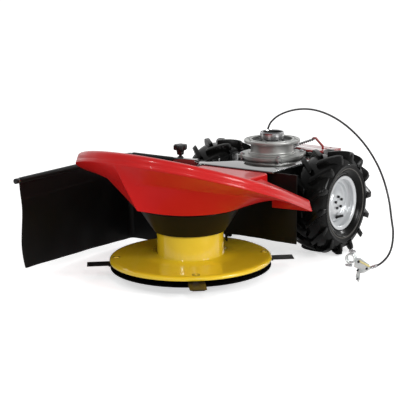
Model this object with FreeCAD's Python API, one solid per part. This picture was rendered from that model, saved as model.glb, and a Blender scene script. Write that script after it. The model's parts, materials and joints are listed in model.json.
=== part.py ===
# Drum mower, single drum, towed behind or pushed by a two-wheel power unit.
# Millimetres. Origin on the floor under the drum axis. The machine works towards -Y,
# +X is the operator's left and +Z is up.
import FreeCAD, Part
import math
import os

V = FreeCAD.Vector
X_AXIS = V(1, 0, 0)
Y_AXIS = V(0, 1, 0)
Z_AXIS = V(0, 0, 1)

# --- driving dimensions ------------------------------------------------------------
RUN_FIT = 0.05            # radial clearance of a running shaft in its bore
PIN_FIT = 0.08            # radial clearance of a knife on its pin

# drum, disc and knives
DRUM_R = 98.5
DRUM_TOP_Z = 145.0
DRUM_WALL = 4.0
DISC_R = 240.0
DISC_TOP_Z = 61.5
DISC_SHEET = 4.0
DISC_EDGE = 8.0           # width of the rolled edge outside the flat ring
DISC_LIP_Z = 49.0
CONE_FOOT = 4.0           # radius of the fillet at the drum's foot
CONE_RISE = 5.0
SPINDLE_R = 15.0
SPINDLE_TOP_Z = 262.0
SPINDLE_LOW_Z = 12.0
DRUM_HUB_R = 38.0
DRUM_HUB_DEEP = 30.0
DRUM_HUB_STAND = 8.0
KNIFE_COUNT = 4
KNIFE_FIRST_DEG = -49.0
KNIFE_PIN_R = 6.0
KNIFE_TIP_R = 306.0
KNIFE_WIDTH = 48.0
KNIFE_THICK = 4.0
KNIFE_LOW_Z = 40.0
KNIFE_BEVEL = 9.0
KNIFE_EDGE_T = 0.8
PIN_COLLAR_R = 7.5
PIN_HEAD_R = 9.5
PIN_HEAD = 3.5
PIN_CAP = 2.0
PIN_MARGIN = 3.5          # flat left on the disc round each pin's cap
PIN_GAP = 0.25

# sliding saucer under the disc
SAUCER_RIM_R = 238.0
SAUCER_RIM_Z = 34.0
SAUCER_RIM_H = 4.0
SAUCER_FLAT_R = 100.0
SAUCER_BOWL = [(160.0, 11.0), (205.0, 21.5)]
SAUCER_SHEET = 3.0
SAUCER_HUB_R = 30.0
SAUCER_HUB_TOP_Z = 26.0

# fixed collar over the drum
COLLAR_LOW_R = 106.5
COLLAR_LOW_Z = 140.0
COLLAR_TOP_R = 152.0
COLLAR_TOP_Z = 212.0
COLLAR_SHEET = 3.0
COLLAR_LID = 4.0
HOUSING_R = 45.0
HOUSING_LIP = 25.0
HOUSING_GAP = 10.0        # air between the turning hub and the fixed housing
SCRAPER_DEG = 42.0
SCRAPER_W = 12.0
SCRAPER_GAP = 5.1         # from the turning drum to the scraper
SCRAPER_REACH = 3.5
SCRAPER_LOW_Z = 99.0
SCRAPER_TOP_Z = 160.0

# hood
HOOD_BACK_Y = 190.0
HOOD_SHEET = 3.0
HOOD_LOW_R = 163.0
HOOD_LOW_Z = 216.5
PROW_REACH = 77.0
PROW_LIFT = 24.0
PROW_FADE_DEG = 10.0
HOOD_ANGLES = (0, 4, 9, 16, 27, 42, 60, 76, 90)
HOOD_SIDE_STEPS = 2
FLARE_R = 238.0
FLARE_BACK_X = 232.0
FLARE_AXIS_Z = 262.0
FLARE_SLOPE = 0.24
FLARE_REACH = 54.0
FLARE_LIFT = -12.0
RIM_R = 329.0
RIM_BACK_X = 302.0
RIM_AXIS_Z = 263.4
RIM_SLOPE = 0.376
BAND_LEAN = 11.0
BAND_H = 32.0
WALL_LOW_Z = 187.0
CROWN_R = 122.0
CROWN_Z = 270.0
DECK_HALF = 126.0
DECK_FRONT_Y = -70.0
DECK_BACK_Y = 232.0
DECK_TOP_Z = 281.0
DECK_ROUND = 40.0
DECK_BACK_ROUND = 14.0

# frame plate and belt housing
PLATE_HALF = 138.0
PLATE_FRONT_Y = 234.0
PLATE_BACK_Y = 545.0
PLATE_TOP_Z = 285.0
PLATE_T = 6.0
TONGUE_X = -211.5
TONGUE_FRONT_Y = 194.0
TONGUE_BACK_Y = 286.0
NOSE_HALF = 95.0
NOSE_LOW_Z = 222.0
BOX_HALF = 130.0
BOX_FRONT_Y = 262.0
BOX_LOW_Z = 205.0
BOX_WALL = 4.0

# axle, gearbox and wheels
AXLE_Y = 450.0
AXLE_Z = 162.5
AXLE_TUBE_R = 28.0
AXLE_TUBE_END = 140.0
SHAFT_R = 12.5
GEARBOX_HALF = 62.0
GEARBOX_R = 60.0
GEARBOX_CASE_HALF = 58.0
GEARBOX_FLANGE_HALF = 75.0
GEARBOX_FLANGE_T = 10.0
GEARBOX_CASE_DROP = 20.0
WHEEL_X = 210.0
TYRE_R = 162.5
TYRE_CROWN_R = 147.0
TYRE_WALL_R = 114.0
TYRE_HALF = 61.0
LUGS_A_SIDE = 14
LUG_ROOT_DEG = 5.0
LUG_SWEEP_DEG = 17.0
LUG_ROOT_X = 3.0
LUG_TOP_W = 17.0
LUG_FOOT_W = 25.0
LUG_END_R = 127.0
SIDE_FACETS = 56
BEAD_R = 76.0
RIM_FLANGE_R = 85.0
RIM_HALF = 47.0
RIM_SHEET = 3.5
HUB_PLATE_R = 44.0
HUB_PLATE_T = 8.0
HUB_BARREL_R = 24.0

# engine adapter
ADAPTER_Y = 441.0
FLANGE_LOW_R = 110.5
FLANGE_LOW_Z = 290.0
FLANGE_LOW_T = 9.0
EAR_COUNT = 4
EAR_R = 13.0
EAR_STAND = 8.0
EAR_BOLT_R = 4.0
EAR_BOLT_HEAD_R = 8.0
EAR_BOLT_HEAD = 6.0
EAR_SPACER_R = 7.0
EAR_FIRST_DEG = 45.0
CABLE_EAR = 1             # this ear's bolt carries the cable's stand
NECK_R = 68.5
FLANGE_TOP_R = 89.5
FLANGE_TOP_Z = 345.0
FLANGE_TOP_T = 12.0
RECESS_R = 65.0
RECESS_DEEP = 7.0
INPUT_R = 39.0
INPUT_TOP_Z = 369.0
INPUT_WEB_Z = 352.0
INPUT_WALL = 8.0
INPUT_BORE_R = 12.5
INPUT_SHAFT_R = 22.0
ENGINE_BOLT_CIRCLE = 160.0
ENGINE_BOLT_HOLE_R = 4.5

# curtain and its rod
TUBE_R = 7.0
TUBE_Z = 293.0
TUBE_Y = 205.0
TUBE_FAR_X = -400.0
TUBE_IN_X = -120.0
TUBE_FRONT_Y = -299.0
TUBE_BEND_R = 16.0
TUBE_WALL = 2.0
CAP_WALL = 1.0
CAP_LENGTH = 12.0
CURTAIN_T = 3.0
CURTAIN_FRONT_Y = -296.0
CURTAIN_IN_X = -214.0
CURTAIN_LOW_Z = 15.0
CURTAIN_LOW_FRONT_Z = 28.0
CURTAIN_NOTCH_X = -240.0  # the inner corner is cut away here, to let a swinging knife by
HEM_T = 2.0
HEM_START_X = -382.0
HEM_START_Y = 180.0
CLAMP_IN_X = -125.0
CLAMP_OUT_X = -211.5
CLAMP_FRONT_Y = 195.0
CLAMP_BACK_Y = 215.0
CLAMP_H = 17.5
KNOB_X = -189.0
KNOB_DOME_R = 10.0
KNOB_DOME_H = 5.0
KNOB_STUD_R = 5.0
KNOB_STAND = 10.0
KNOB_NECK_R = 12.5
KNOB_NECK_H = 15.0
KNOB_R = 23.0
KNOB_CORE_R = 18.5
KNOB_LOBES = 6
KNOB_LOBE_R = 7.5
KNOB_H = 32.5

# rear apron
APRON_FRONT_Y = 252.0
APRON_T = 4.0
APRON_HALF = 211.0
APRON_LOW_Z = 67.0
RAIL_T = 5.0
RAIL_H = 30.0

# handlebar bracket
BRACKET_HALF = 153.0
BRACKET_FRONT_HALF = 140.0
BRACKET_FRONT_Y = 530.0
BRACKET_STEP_Y = 556.0
BRACKET_BACK_Y = 614.0
BRACKET_Z = 296.5
BRACKET_T = 6.0
BRACKET_LIP = 22.0
POST_X = 80.0
POST_HALF = 20.0
POST_GAP = 4.0            # air between the bracket and the engine adapter
BAR_HOLE_X = 240.0
BAR_HOLE_Y = 34.0
BAR_HOLE_MID_Y = 588.0
BAR_HOLE_R = 5.5
SCREW_R = 4.0
SCREW_START = V(31, 520, 312.6)
SCREW_END = V(86, 560, 334)
SCREW_NUT = 12.0
STAY_T = 8.0
STAY_OUTLINE = [(78, 0), (78, 38), (91, 38), (120, 12), (120, 0)]

# control cable, a Bowden cable in one upright plane
CABLE_D = 6.0
CABLE_START_Z = 326.0
CABLE_HEADING = V(0.89658, -0.44287, 0)
CABLE_RUNS = [(10.5, 372), (60.5, 408), (129.5, 434), (206.5, 452), (286.5, 460),
              (366.5, 456), (444.5, 441), (518.5, 415), (586.5, 377), (644.5, 324),
              (682.5, 255), (694.5, 199), (706.5, 160), (695.5, 103)]
CABLE_TAIL = [V(523.0, 205.1, 63.9), V(509.6, 202.3, 57.6)]
STAND_R = 7.0
STAND_GRIP = 2.0

# clutch lever at the cable's end
LEVER_ORIGIN = V(456.5, 191, 0)
LEVER_ALONG = V(0.9781, 0.2079, 0)
LEVER_ACROSS = V(-0.2079, 0.9781, 0)
LEVER_T = 5.0
BAR_CLAMP_R = 15.0
BAR_BORE_R = 11.0
BAR_CLAMP_W = 20.0
FERRULE_R = 5.0
FERRULE_LENGTH = 21.0
BODY_OUTLINE = [(-10, 66), (-4, 74), (7, 75), (38, 56), (35, 44), (21, 34), (4, 30), (-2, 44),
                (-12, 47)]
BLADE_OUTLINE = [(0, 1), (3.4, 9.8), (4, 22.7), (6, 40), (-1.9, 44), (-8.8, 18.5), (-4.3, 6.2)]
LATCH_OUTLINE = [(4.9, 69.7), (37.5, 55.9), (33.4, 52), (6.4, 64.1)]
LATCH_T = 4.0
BAR_AT = (-22, 72)
WING_SPOTS = [(-18, 86, 1), (-28, 58, -1)]
WING_STEM = 3.0
WING_STEM_H = 8.0
WING_LOW = 4.0
WING_TOP = 11.0
WING_SPAN = 11.0
WING_T = 4.0


# --- helpers -----------------------------------------------------------------------
def block(x0, x1, y0, y1, z0, z1):
    return Part.makeBox(x1 - x0, y1 - y0, z1 - z0, V(x0, y0, z0))


def cylinder(radius, base, height, direction=Z_AXIS):
    return Part.makeCylinder(radius, height, base, direction)


def turned(profile, centre=V(0, 0, 0)):
    """Closed (radius, height) outline turned about the upright axis at centre."""
    points = [V(r, 0, z) for r, z in profile]
    face = Part.Face(Part.makePolygon(points + [points[0]]))
    solid = face.revolve(V(0, 0, 0), Z_AXIS, 360)
    solid.translate(centre)
    return solid


def wheel_turned(profile, side):
    """Closed (radius, outward) outline turned about the wheel axle on one side."""
    solid = turned(profile)
    solid.rotate(V(0, 0, 0), Y_AXIS, 90 * side)
    solid.translate(V(side * WHEEL_X, AXLE_Y, AXLE_Z))
    return solid


def prism(points, push):
    face = Part.Face(Part.makePolygon(points + [points[0]]))
    return face.extrude(push)


def lever_prism(outline, start, thick):
    """Outline in the lever's own (along, up) plane, pushed across it."""
    points = [LEVER_ORIGIN + LEVER_ALONG * u + LEVER_ACROSS * start + Z_AXIS * z
              for u, z in outline]
    return prism(points, LEVER_ACROSS * thick)


def lever_rod(radius, u, z, start, length):
    base = LEVER_ORIGIN + LEVER_ALONG * u + LEVER_ACROSS * start + Z_AXIS * z
    return cylinder(radius, base, length, LEVER_ACROSS)


def joined(shapes):
    solid = shapes[0]
    for shape in shapes[1:]:
        solid = solid.fuse(shape)
    return solid.removeSplitter()


def save(name, shape):
    shape.exportStep("parts/" + name + ".step")
    print(name, "%.0f" % shape.Volume, len(shape.Solids), shape.isValid())


os.makedirs("parts", exist_ok=True)

# --- drum --------------------------------------------------------------------------
flat_outer = DISC_R - DISC_EDGE
pin_circle = flat_outer - PIN_HEAD_R - PIN_MARGIN
flat_inner = pin_circle - PIN_HEAD_R - PIN_MARGIN
disc_low_z = DISC_TOP_Z - DISC_SHEET
cone_z = DISC_TOP_Z + CONE_RISE
hub_low_z = DRUM_TOP_Z - DRUM_HUB_DEEP
hub_top_z = DRUM_TOP_Z + DRUM_HUB_STAND
drum_shell = turned([
    (DRUM_HUB_R, DRUM_TOP_Z),
    (DRUM_R, DRUM_TOP_Z),
    (DRUM_R, cone_z + CONE_FOOT),
    (DRUM_R + CONE_FOOT, cone_z),
    (flat_inner, DISC_TOP_Z),
    (flat_outer, DISC_TOP_Z),
    (DISC_R - 3, DISC_TOP_Z - 1.5),
    (DISC_R, DISC_TOP_Z - 5),
    (DISC_R, DISC_LIP_Z),
    (DISC_R - DISC_SHEET, DISC_LIP_Z),
    (DISC_R - DISC_SHEET, disc_low_z - 2),
    (flat_outer, disc_low_z),
    (flat_inner, disc_low_z),
    (DRUM_R, cone_z - DISC_SHEET),
    (DRUM_R - DRUM_WALL, cone_z),
    (DRUM_R - DRUM_WALL, DRUM_TOP_Z - DRUM_WALL),
    (DRUM_HUB_R, DRUM_TOP_Z - DRUM_WALL),
])
knife_angles = [math.radians(KNIFE_FIRST_DEG + 360.0 / KNIFE_COUNT * i)
                for i in range(KNIFE_COUNT)]
pin_spots = [V(pin_circle * math.cos(a), pin_circle * math.sin(a), 0) for a in knife_angles]
for spot in pin_spots:
    drum_shell = drum_shell.cut(cylinder(KNIFE_PIN_R, spot + Z_AXIS * DISC_LIP_Z, DISC_R))
save("drum_shell", drum_shell)

drum_hub = turned([
    (SPINDLE_R, hub_top_z),
    (DRUM_HUB_R, hub_top_z),
    (DRUM_HUB_R, hub_low_z),
    (SPINDLE_R, hub_low_z),
])
save("drum_hub", drum_hub)
spindle = cylinder(SPINDLE_R, V(0, 0, SPINDLE_LOW_Z), SPINDLE_TOP_Z - SPINDLE_LOW_Z)
save("spindle_shaft", spindle)

pins = []
for spot in pin_spots:
    shank_low = KNIFE_LOW_Z - PIN_GAP
    shank = cylinder(KNIFE_PIN_R, spot + Z_AXIS * shank_low, DISC_TOP_Z - shank_low)
    low_head = cylinder(PIN_HEAD_R, spot + Z_AXIS * (shank_low - PIN_HEAD), PIN_HEAD)
    collar_low = KNIFE_LOW_Z + KNIFE_THICK + PIN_GAP
    collar = cylinder(PIN_COLLAR_R, spot + Z_AXIS * collar_low, disc_low_z - collar_low)
    cap = cylinder(PIN_HEAD_R, spot + Z_AXIS * DISC_TOP_Z, PIN_CAP)
    pins.append(joined([shank, low_head, collar, cap]))
save("knife_pins", Part.makeCompound(pins))

knife_length = KNIFE_TIP_R - pin_circle
knife_half = KNIFE_WIDTH / 2
for number, (angle, spot) in enumerate(zip(knife_angles, pin_spots), 1):
    bar = block(0, knife_length, -knife_half, knife_half, KNIFE_LOW_Z, KNIFE_LOW_Z + KNIFE_THICK)
    boss = cylinder(knife_half, V(0, 0, KNIFE_LOW_Z), KNIFE_THICK)
    knife = joined([bar, boss])
    for edge in (knife_half, -knife_half):
        inward = edge - math.copysign(KNIFE_BEVEL, edge)
        bevel = prism([V(knife_half, inward, KNIFE_LOW_Z),
                       V(knife_half, edge, KNIFE_LOW_Z),
                       V(knife_half, edge, KNIFE_LOW_Z + KNIFE_THICK - KNIFE_EDGE_T)],
                      V(knife_length, 0, 0))
        knife = knife.cut(bevel)
    knife = knife.cut(cylinder(KNIFE_PIN_R + PIN_FIT, V(0, 0, 0), DISC_TOP_Z))
    knife.rotate(V(0, 0, 0), Z_AXIS, math.degrees(angle))
    knife.translate(spot)
    save("knife_%d" % number, knife)

hub_cup_z = SPINDLE_LOW_Z - 6
rim_low_z = SAUCER_RIM_Z - SAUCER_RIM_H
underside = [(SAUCER_FLAT_R, 0)] + SAUCER_BOWL + [(SAUCER_RIM_R - 2, rim_low_z)]
upperside = [(r - 1, z + SAUCER_SHEET) for r, z in underside[::-1]]
saucer = turned([(0, 0)] + underside + [
    (SAUCER_RIM_R, rim_low_z + 1),
    (SAUCER_RIM_R, SAUCER_RIM_Z),
    (SAUCER_RIM_R - SAUCER_SHEET, SAUCER_RIM_Z),
] + upperside + [
    (SAUCER_HUB_R, SAUCER_SHEET),
    (SAUCER_HUB_R, SAUCER_HUB_TOP_Z),
    (SPINDLE_R + RUN_FIT, SAUCER_HUB_TOP_Z),
    (SPINDLE_R + RUN_FIT, hub_cup_z),
    (0, hub_cup_z),
])
save("saucer", saucer)

# --- collar and spindle housing -----------------------------------------------------
collar = turned([
    (HOUSING_R, COLLAR_TOP_Z),
    (HOUSING_R, COLLAR_TOP_Z - COLLAR_LID),
    (COLLAR_TOP_R - COLLAR_SHEET - 2, COLLAR_TOP_Z - COLLAR_LID),
    (COLLAR_LOW_R - COLLAR_SHEET, COLLAR_LOW_Z),
    (COLLAR_LOW_R, COLLAR_LOW_Z),
    (COLLAR_TOP_R, COLLAR_TOP_Z),
])
save("drum_collar", collar)
housing_low_z = hub_top_z + HOUSING_GAP
housing = turned([
    (SPINDLE_R + RUN_FIT, NOSE_LOW_Z),
    (SPINDLE_R + RUN_FIT, housing_low_z),
    (HOUSING_R, housing_low_z),
    (HOUSING_R, COLLAR_TOP_Z),
    (HOUSING_R + HOUSING_LIP, COLLAR_TOP_Z),
    (HOUSING_R + HOUSING_LIP, NOSE_LOW_Z),
])
save("spindle_housing", housing)

scraper = block(DRUM_R + SCRAPER_GAP, COLLAR_LOW_R + SCRAPER_REACH, -SCRAPER_W / 2, SCRAPER_W / 2,
                SCRAPER_LOW_Z, SCRAPER_TOP_Z)
cone_core = turned([(0, COLLAR_LOW_Z), (COLLAR_LOW_R, COLLAR_LOW_Z),
                    (COLLAR_TOP_R, COLLAR_TOP_Z), (0, COLLAR_TOP_Z)])
scraper = scraper.cut(cone_core)
scraper.rotate(V(0, 0, 0), Z_AXIS, SCRAPER_DEG)
save("drum_scraper", scraper)

# --- belt housing, plate, deck --------------------------------------------------------
nose_top = PLATE_TOP_Z - PLATE_T
nose_low_top = CROWN_Z - HOOD_SHEET


def nose_outline(half, front_centre, back, low, high):
    core = block(-half, half, front_centre, back, low, high)
    return joined([core, cylinder(half, V(0, front_centre, low), high - low)])


nose = nose_outline(NOSE_HALF, 0, BOX_FRONT_Y + 10, NOSE_LOW_Z, nose_low_top)
hollow = nose_outline(NOSE_HALF - BOX_WALL, 0, BOX_FRONT_Y + 12, NOSE_LOW_Z + 3,
                      nose_low_top - 3)
wide = block(-BOX_HALF, BOX_HALF, BOX_FRONT_Y, PLATE_BACK_Y - 4, BOX_LOW_Z, nose_top)
wide_in = block(-BOX_HALF + BOX_WALL, BOX_HALF - BOX_WALL, BOX_FRONT_Y + BOX_WALL,
                PLATE_BACK_Y - 4 - BOX_WALL, BOX_LOW_Z - 1, nose_top + 1)
step_up = block(-NOSE_HALF, NOSE_HALF, PLATE_FRONT_Y, BOX_FRONT_Y, nose_low_top, nose_top)
belt_housing = joined([nose, wide, step_up]).cut(hollow).cut(wide_in)
belt_housing = belt_housing.cut(cylinder(SPINDLE_R + 3, V(0, 0, NOSE_LOW_Z - 1), 30))
save("belt_housing", belt_housing)

plate = block(-PLATE_HALF, PLATE_HALF, PLATE_FRONT_Y, PLATE_BACK_Y, nose_top, PLATE_TOP_Z)
tongue = block(TONGUE_X, -DECK_HALF - 3, TONGUE_FRONT_Y, TONGUE_BACK_Y, nose_top, PLATE_TOP_Z)
frame_plate = joined([plate, tongue])
save("frame_plate", frame_plate)

# --- hood ----------------------------------------------------------------------------


def half_ring(side_r, back_x, height, prow=0.0, lift=0.0):
    """Right half of one of the hood's edges, from the front ridge to the rear wall.

    A prow pulls the edge forward and up into a point on the middle line."""
    points = []
    for degrees in HOOD_ANGLES:
        a = math.radians(degrees)
        fade = math.exp(-degrees / PROW_FADE_DEG)
        r = side_r + prow * fade
        y = -r * math.cos(a)
        points.append(V(r * math.sin(a), y, height(y) + lift * fade))
    for step in range(1, HOOD_SIDE_STEPS + 1):
        share = step / float(HOOD_SIDE_STEPS)
        y = HOOD_BACK_Y * share
        x = side_r - (side_r - back_x) * share ** 1.5
        points.append(V(x, y, height(y)))
    curve = Part.BSplineCurve()
    curve.interpolate(points)
    return curve.toShape(), points[-1]


def rim_z(y):
    return RIM_AXIS_Z - RIM_SLOPE * y


def flare_z(y):
    return FLARE_AXIS_Z - FLARE_SLOPE * y


def hood_rings(sheet):
    low_r = HOOD_LOW_R - sheet / 2
    lean = BAND_LEAN + sheet
    return [
        half_ring(low_r, low_r, lambda y: HOOD_LOW_Z + sheet, PROW_REACH, PROW_LIFT),
        half_ring(FLARE_R - sheet, FLARE_BACK_X - sheet, lambda y: flare_z(y) + sheet,
                  FLARE_REACH, FLARE_LIFT),
        half_ring(RIM_R - sheet, RIM_BACK_X - sheet, lambda y: rim_z(y) + sheet),
        half_ring(RIM_R - lean, RIM_BACK_X - lean, lambda y: rim_z(y) + BAND_H - sheet),
        half_ring(CROWN_R, CROWN_R, lambda y: CROWN_Z - sheet),
    ]


def mirrored(shape):
    return shape.mirror(V(0, 0, 0), X_AXIS)


def flat_face(edges):
    return Part.Face(Part.Wire(Part.__sortEdges__(edges)))


outside = hood_rings(0)
inside = hood_rings(HOOD_SHEET)
half_skins = []
skins = []
for rings in (outside, inside):
    for one, two in zip(rings, rings[1:]):
        half_skins.append(Part.makeRuledSurface(one[0], two[0]))
    crown_edge, crown_back = rings[-1]
    across = Part.makeLine(crown_back, V(-crown_back.x, crown_back.y, crown_back.z))
    skins.append(flat_face([crown_edge, mirrored(crown_edge), across]))
half_skins.append(Part.makeRuledSurface(outside[0][0], inside[0][0]))
for face in half_skins:
    skins.append(face)
    skins.append(mirrored(face))
outer_ends = [r[1] for r in outside]
inner_ends = [r[1] for r in inside]
section = outer_ends + [V(-p.x, p.y, p.z) for p in outer_ends[::-1]]
section = section + [V(-p.x, p.y, p.z) for p in inner_ends] + inner_ends[::-1]
skins.append(Part.Face(Part.makePolygon(section + [section[0]])))
shell = Part.makeShell(skins)
shell.sewShape()
hood_shell = Part.makeSolid(shell)
if hood_shell.Volume < 0:
    hood_shell.reverse()
save("hood_shell", hood_shell)

edge_z = rim_z(HOOD_BACK_Y)
band_x = RIM_BACK_X - BAND_LEAN
wall_outline = [(RIM_BACK_X, edge_z), (band_x, edge_z + BAND_H), (CROWN_R, CROWN_Z),
                (-CROWN_R, CROWN_Z), (-band_x, edge_z + BAND_H), (-RIM_BACK_X, edge_z),
                (-HOOD_LOW_R, WALL_LOW_Z), (-HOOD_LOW_R, HOOD_LOW_Z),
                (HOOD_LOW_R, HOOD_LOW_Z), (HOOD_LOW_R, WALL_LOW_Z)]
back_wall = prism([V(x, HOOD_BACK_Y, z) for x, z in wall_outline], V(0, HOOD_SHEET, 0))
nose_hole = block(-NOSE_HALF, NOSE_HALF, HOOD_BACK_Y - 30, HOOD_BACK_Y + 30,
                  NOSE_LOW_Z, nose_low_top)
save("hood_back_wall", back_wall.cut(nose_hole))
deck = block(-DECK_HALF, DECK_HALF, DECK_FRONT_Y, DECK_BACK_Y, CROWN_Z, DECK_TOP_Z)
deck_h = DECK_TOP_Z - CROWN_Z
upright = [e for e in deck.Edges if abs(e.BoundBox.ZLength - deck_h) < 0.1]
deck = deck.makeFillet(DECK_ROUND, [e for e in upright if e.BoundBox.YMin < 0])
upright = [e for e in deck.Edges if abs(e.BoundBox.ZLength - deck_h) < 0.1]
deck = deck.makeFillet(DECK_BACK_ROUND, [e for e in upright if e.BoundBox.YMin > DECK_BACK_Y - 1])
save("hood_deck", deck)

# --- gearbox, axle and wheels -----------------------------------------------------------
flange_low_z = BOX_LOW_Z - GEARBOX_FLANGE_T
case = block(-GEARBOX_HALF, GEARBOX_HALF, AXLE_Y - GEARBOX_CASE_HALF, AXLE_Y + GEARBOX_CASE_HALF,
             AXLE_Z - GEARBOX_CASE_DROP, flange_low_z)
barrel = cylinder(GEARBOX_R, V(-GEARBOX_HALF, AXLE_Y, AXLE_Z), 2 * GEARBOX_HALF, X_AXIS)
top_flange = block(-BOX_HALF, BOX_HALF, AXLE_Y - GEARBOX_FLANGE_HALF,
                   AXLE_Y + GEARBOX_FLANGE_HALF, flange_low_z, BOX_LOW_Z)
gearbox = joined([case, barrel, top_flange])
shaft_bore = cylinder(SHAFT_R + RUN_FIT, V(-WHEEL_X, AXLE_Y, AXLE_Z), 2 * WHEEL_X, X_AXIS)
gearbox = gearbox.cut(shaft_bore)
save("gearbox", gearbox)
tubes = []
for side in (1, -1):
    base = V(side * GEARBOX_HALF, AXLE_Y, AXLE_Z)
    tube = cylinder(AXLE_TUBE_R, base, AXLE_TUBE_END - GEARBOX_HALF, X_AXIS * side)
    tubes.append(tube.cut(shaft_bore))
save("axle_tubes", Part.makeCompound(tubes))

# How the tread lugs lie: outward and radius of the carcass, outward and radius of the
# lug's top, and how much of the lug's sweep is reached there.
lug_stations = [
    (LUG_ROOT_X, TYRE_CROWN_R, LUG_ROOT_X, TYRE_R, 0.0),
    (TYRE_HALF / 2, TYRE_CROWN_R, TYRE_HALF / 2, TYRE_R, 0.5),
    (TYRE_HALF - 11, TYRE_CROWN_R - 6, TYRE_HALF - 1, TYRE_R - 1.5, 0.95),
    (TYRE_HALF - 4, LUG_END_R + 4, TYRE_HALF + 1, LUG_END_R + 14, 1.05),
    (TYRE_HALF - 3, LUG_END_R - 4, TYRE_HALF - 1.5, LUG_END_R, 1.08),
]
side_stations = [
    (TYRE_HALF - 2, TYRE_WALL_R),
    (TYRE_HALF - 7, RIM_FLANGE_R + 9),
    (RIM_HALF - RIM_SHEET, RIM_FLANGE_R + 3),
    (RIM_HALF - RIM_SHEET, BEAD_R / math.cos(math.pi / SIDE_FACETS)),
]
FULL_TURN = 2 * math.pi


def ring_point(a, r, outward):
    return a, V(r * math.cos(a), r * math.sin(a), outward)


def lug_ring(station, side):
    """One cut round the tread: five corners to each lug, low, high, high, low, low."""
    low_out, low_r, high_out, high_r, sweep = station
    pitch = FULL_TURN / LUGS_A_SIDE
    lead = math.radians(LUG_ROOT_DEG - LUG_SWEEP_DEG * sweep)
    ring = []
    for number in range(LUGS_A_SIDE):
        middle = pitch * (number + (0.0 if side > 0 else 0.5)) + lead
        foot = LUG_FOOT_W / 2 / TYRE_R
        top = LUG_TOP_W / 2 / TYRE_R
        ring.append(ring_point(middle - foot, low_r, side * low_out))
        ring.append(ring_point(middle - top, high_r, side * high_out))
        ring.append(ring_point(middle + top, high_r, side * high_out))
        ring.append(ring_point(middle + foot, low_r, side * low_out))
        ring.append(ring_point(middle + pitch / 2, low_r, side * low_out))
    return ring


def plain_ring(station, side):
    outward, r = station
    return [ring_point(FULL_TURN * i / SIDE_FACETS, r, side * outward) for i in range(SIDE_FACETS)]


def triangle(a, b, c):
    return Part.Face(Part.makePolygon([a, b, c, a]))


def zipped(one, two):
    """Triangles that fill the strip between two closed rings of (angle, point)."""
    begin = min(range(len(two)), key=lambda k: abs(two[k][0] - one[0][0]))
    two = two[begin:] + [(a + FULL_TURN, point) for a, point in two[:begin]]
    one = one + [(one[0][0] + FULL_TURN, one[0][1])]
    two = two + [(two[0][0] + FULL_TURN, two[0][1])]
    faces = []
    i = 0
    j = 0
    while i < len(one) - 1 or j < len(two) - 1:
        step_one = j == len(two) - 1
        if i < len(one) - 1 and not step_one:
            step_one = one[i][0] + one[i + 1][0] <= two[j][0] + two[j + 1][0]
        if step_one:
            faces.append(triangle(one[i][1], one[i + 1][1], two[j][1]))
            i += 1
        else:
            faces.append(triangle(one[i][1], two[j + 1][1], two[j][1]))
            j += 1
    return faces


rings = [plain_ring(station, -1) for station in side_stations[::-1]]
rings += [lug_ring(station, -1) for station in lug_stations[::-1]]
rings += [lug_ring(station, 1) for station in lug_stations]
rings += [plain_ring(station, 1) for station in side_stations]
tyre_faces = []
for one, two in zip(rings, rings[1:] + rings[:1]):
    tyre_faces += zipped(one, two)
print("tyre triangles", len(tyre_faces))
tyre_skin = Part.makeShell(tyre_faces)
tyre_skin.sewShape()
plain_tyre = Part.makeSolid(tyre_skin)
if plain_tyre.Volume < 0:
    plain_tyre.reverse()
plain_tyre.rotate(V(0, 0, 0), Y_AXIS, 90)

for name, side in (("left", 1), ("right", -1)):
    tyre = plain_tyre.copy()
    tyre.translate(V(side * WHEEL_X, AXLE_Y, AXLE_Z))
    save("tyre_" + name, tyre)
    well = BEAD_R - 10
    rim = wheel_turned([
        (HUB_BARREL_R - 6, -8),
        (well - RIM_SHEET, -4),
        (well - RIM_SHEET, -25),
        (BEAD_R - RIM_SHEET, -32),
        (BEAD_R - RIM_SHEET, -RIM_HALF),
        (RIM_FLANGE_R, -RIM_HALF),
        (RIM_FLANGE_R, -RIM_HALF + RIM_SHEET),
        (BEAD_R, -RIM_HALF + RIM_SHEET),
        (BEAD_R, -30),
        (well, -23),
        (well, 18),
        (BEAD_R, 25),
        (BEAD_R, RIM_HALF - RIM_SHEET),
        (RIM_FLANGE_R, RIM_HALF - RIM_SHEET),
        (RIM_FLANGE_R, RIM_HALF),
        (BEAD_R - RIM_SHEET, RIM_HALF),
        (BEAD_R - RIM_SHEET, 27),
        (well - RIM_SHEET, 20),
        (well - RIM_SHEET, 0),
        (HUB_BARREL_R - 6, -4),
    ], side)
    save("rim_" + name, rim)
    hub = wheel_turned([
        (0, 14),
        (HUB_BARREL_R - 6, 14),
        (HUB_BARREL_R - 6, -8),
        (HUB_PLATE_R, -8),
        (HUB_PLATE_R, -8 - HUB_PLATE_T),
        (HUB_BARREL_R, -8 - HUB_PLATE_T),
        (HUB_BARREL_R, -WHEEL_X + AXLE_TUBE_END + 6),
        (SHAFT_R, -WHEEL_X + AXLE_TUBE_END + 6),
        (SHAFT_R, -WHEEL_X + 8),
        (0, -WHEEL_X + 8),
    ], side)
    save("wheel_hub_" + name, hub)

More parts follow.
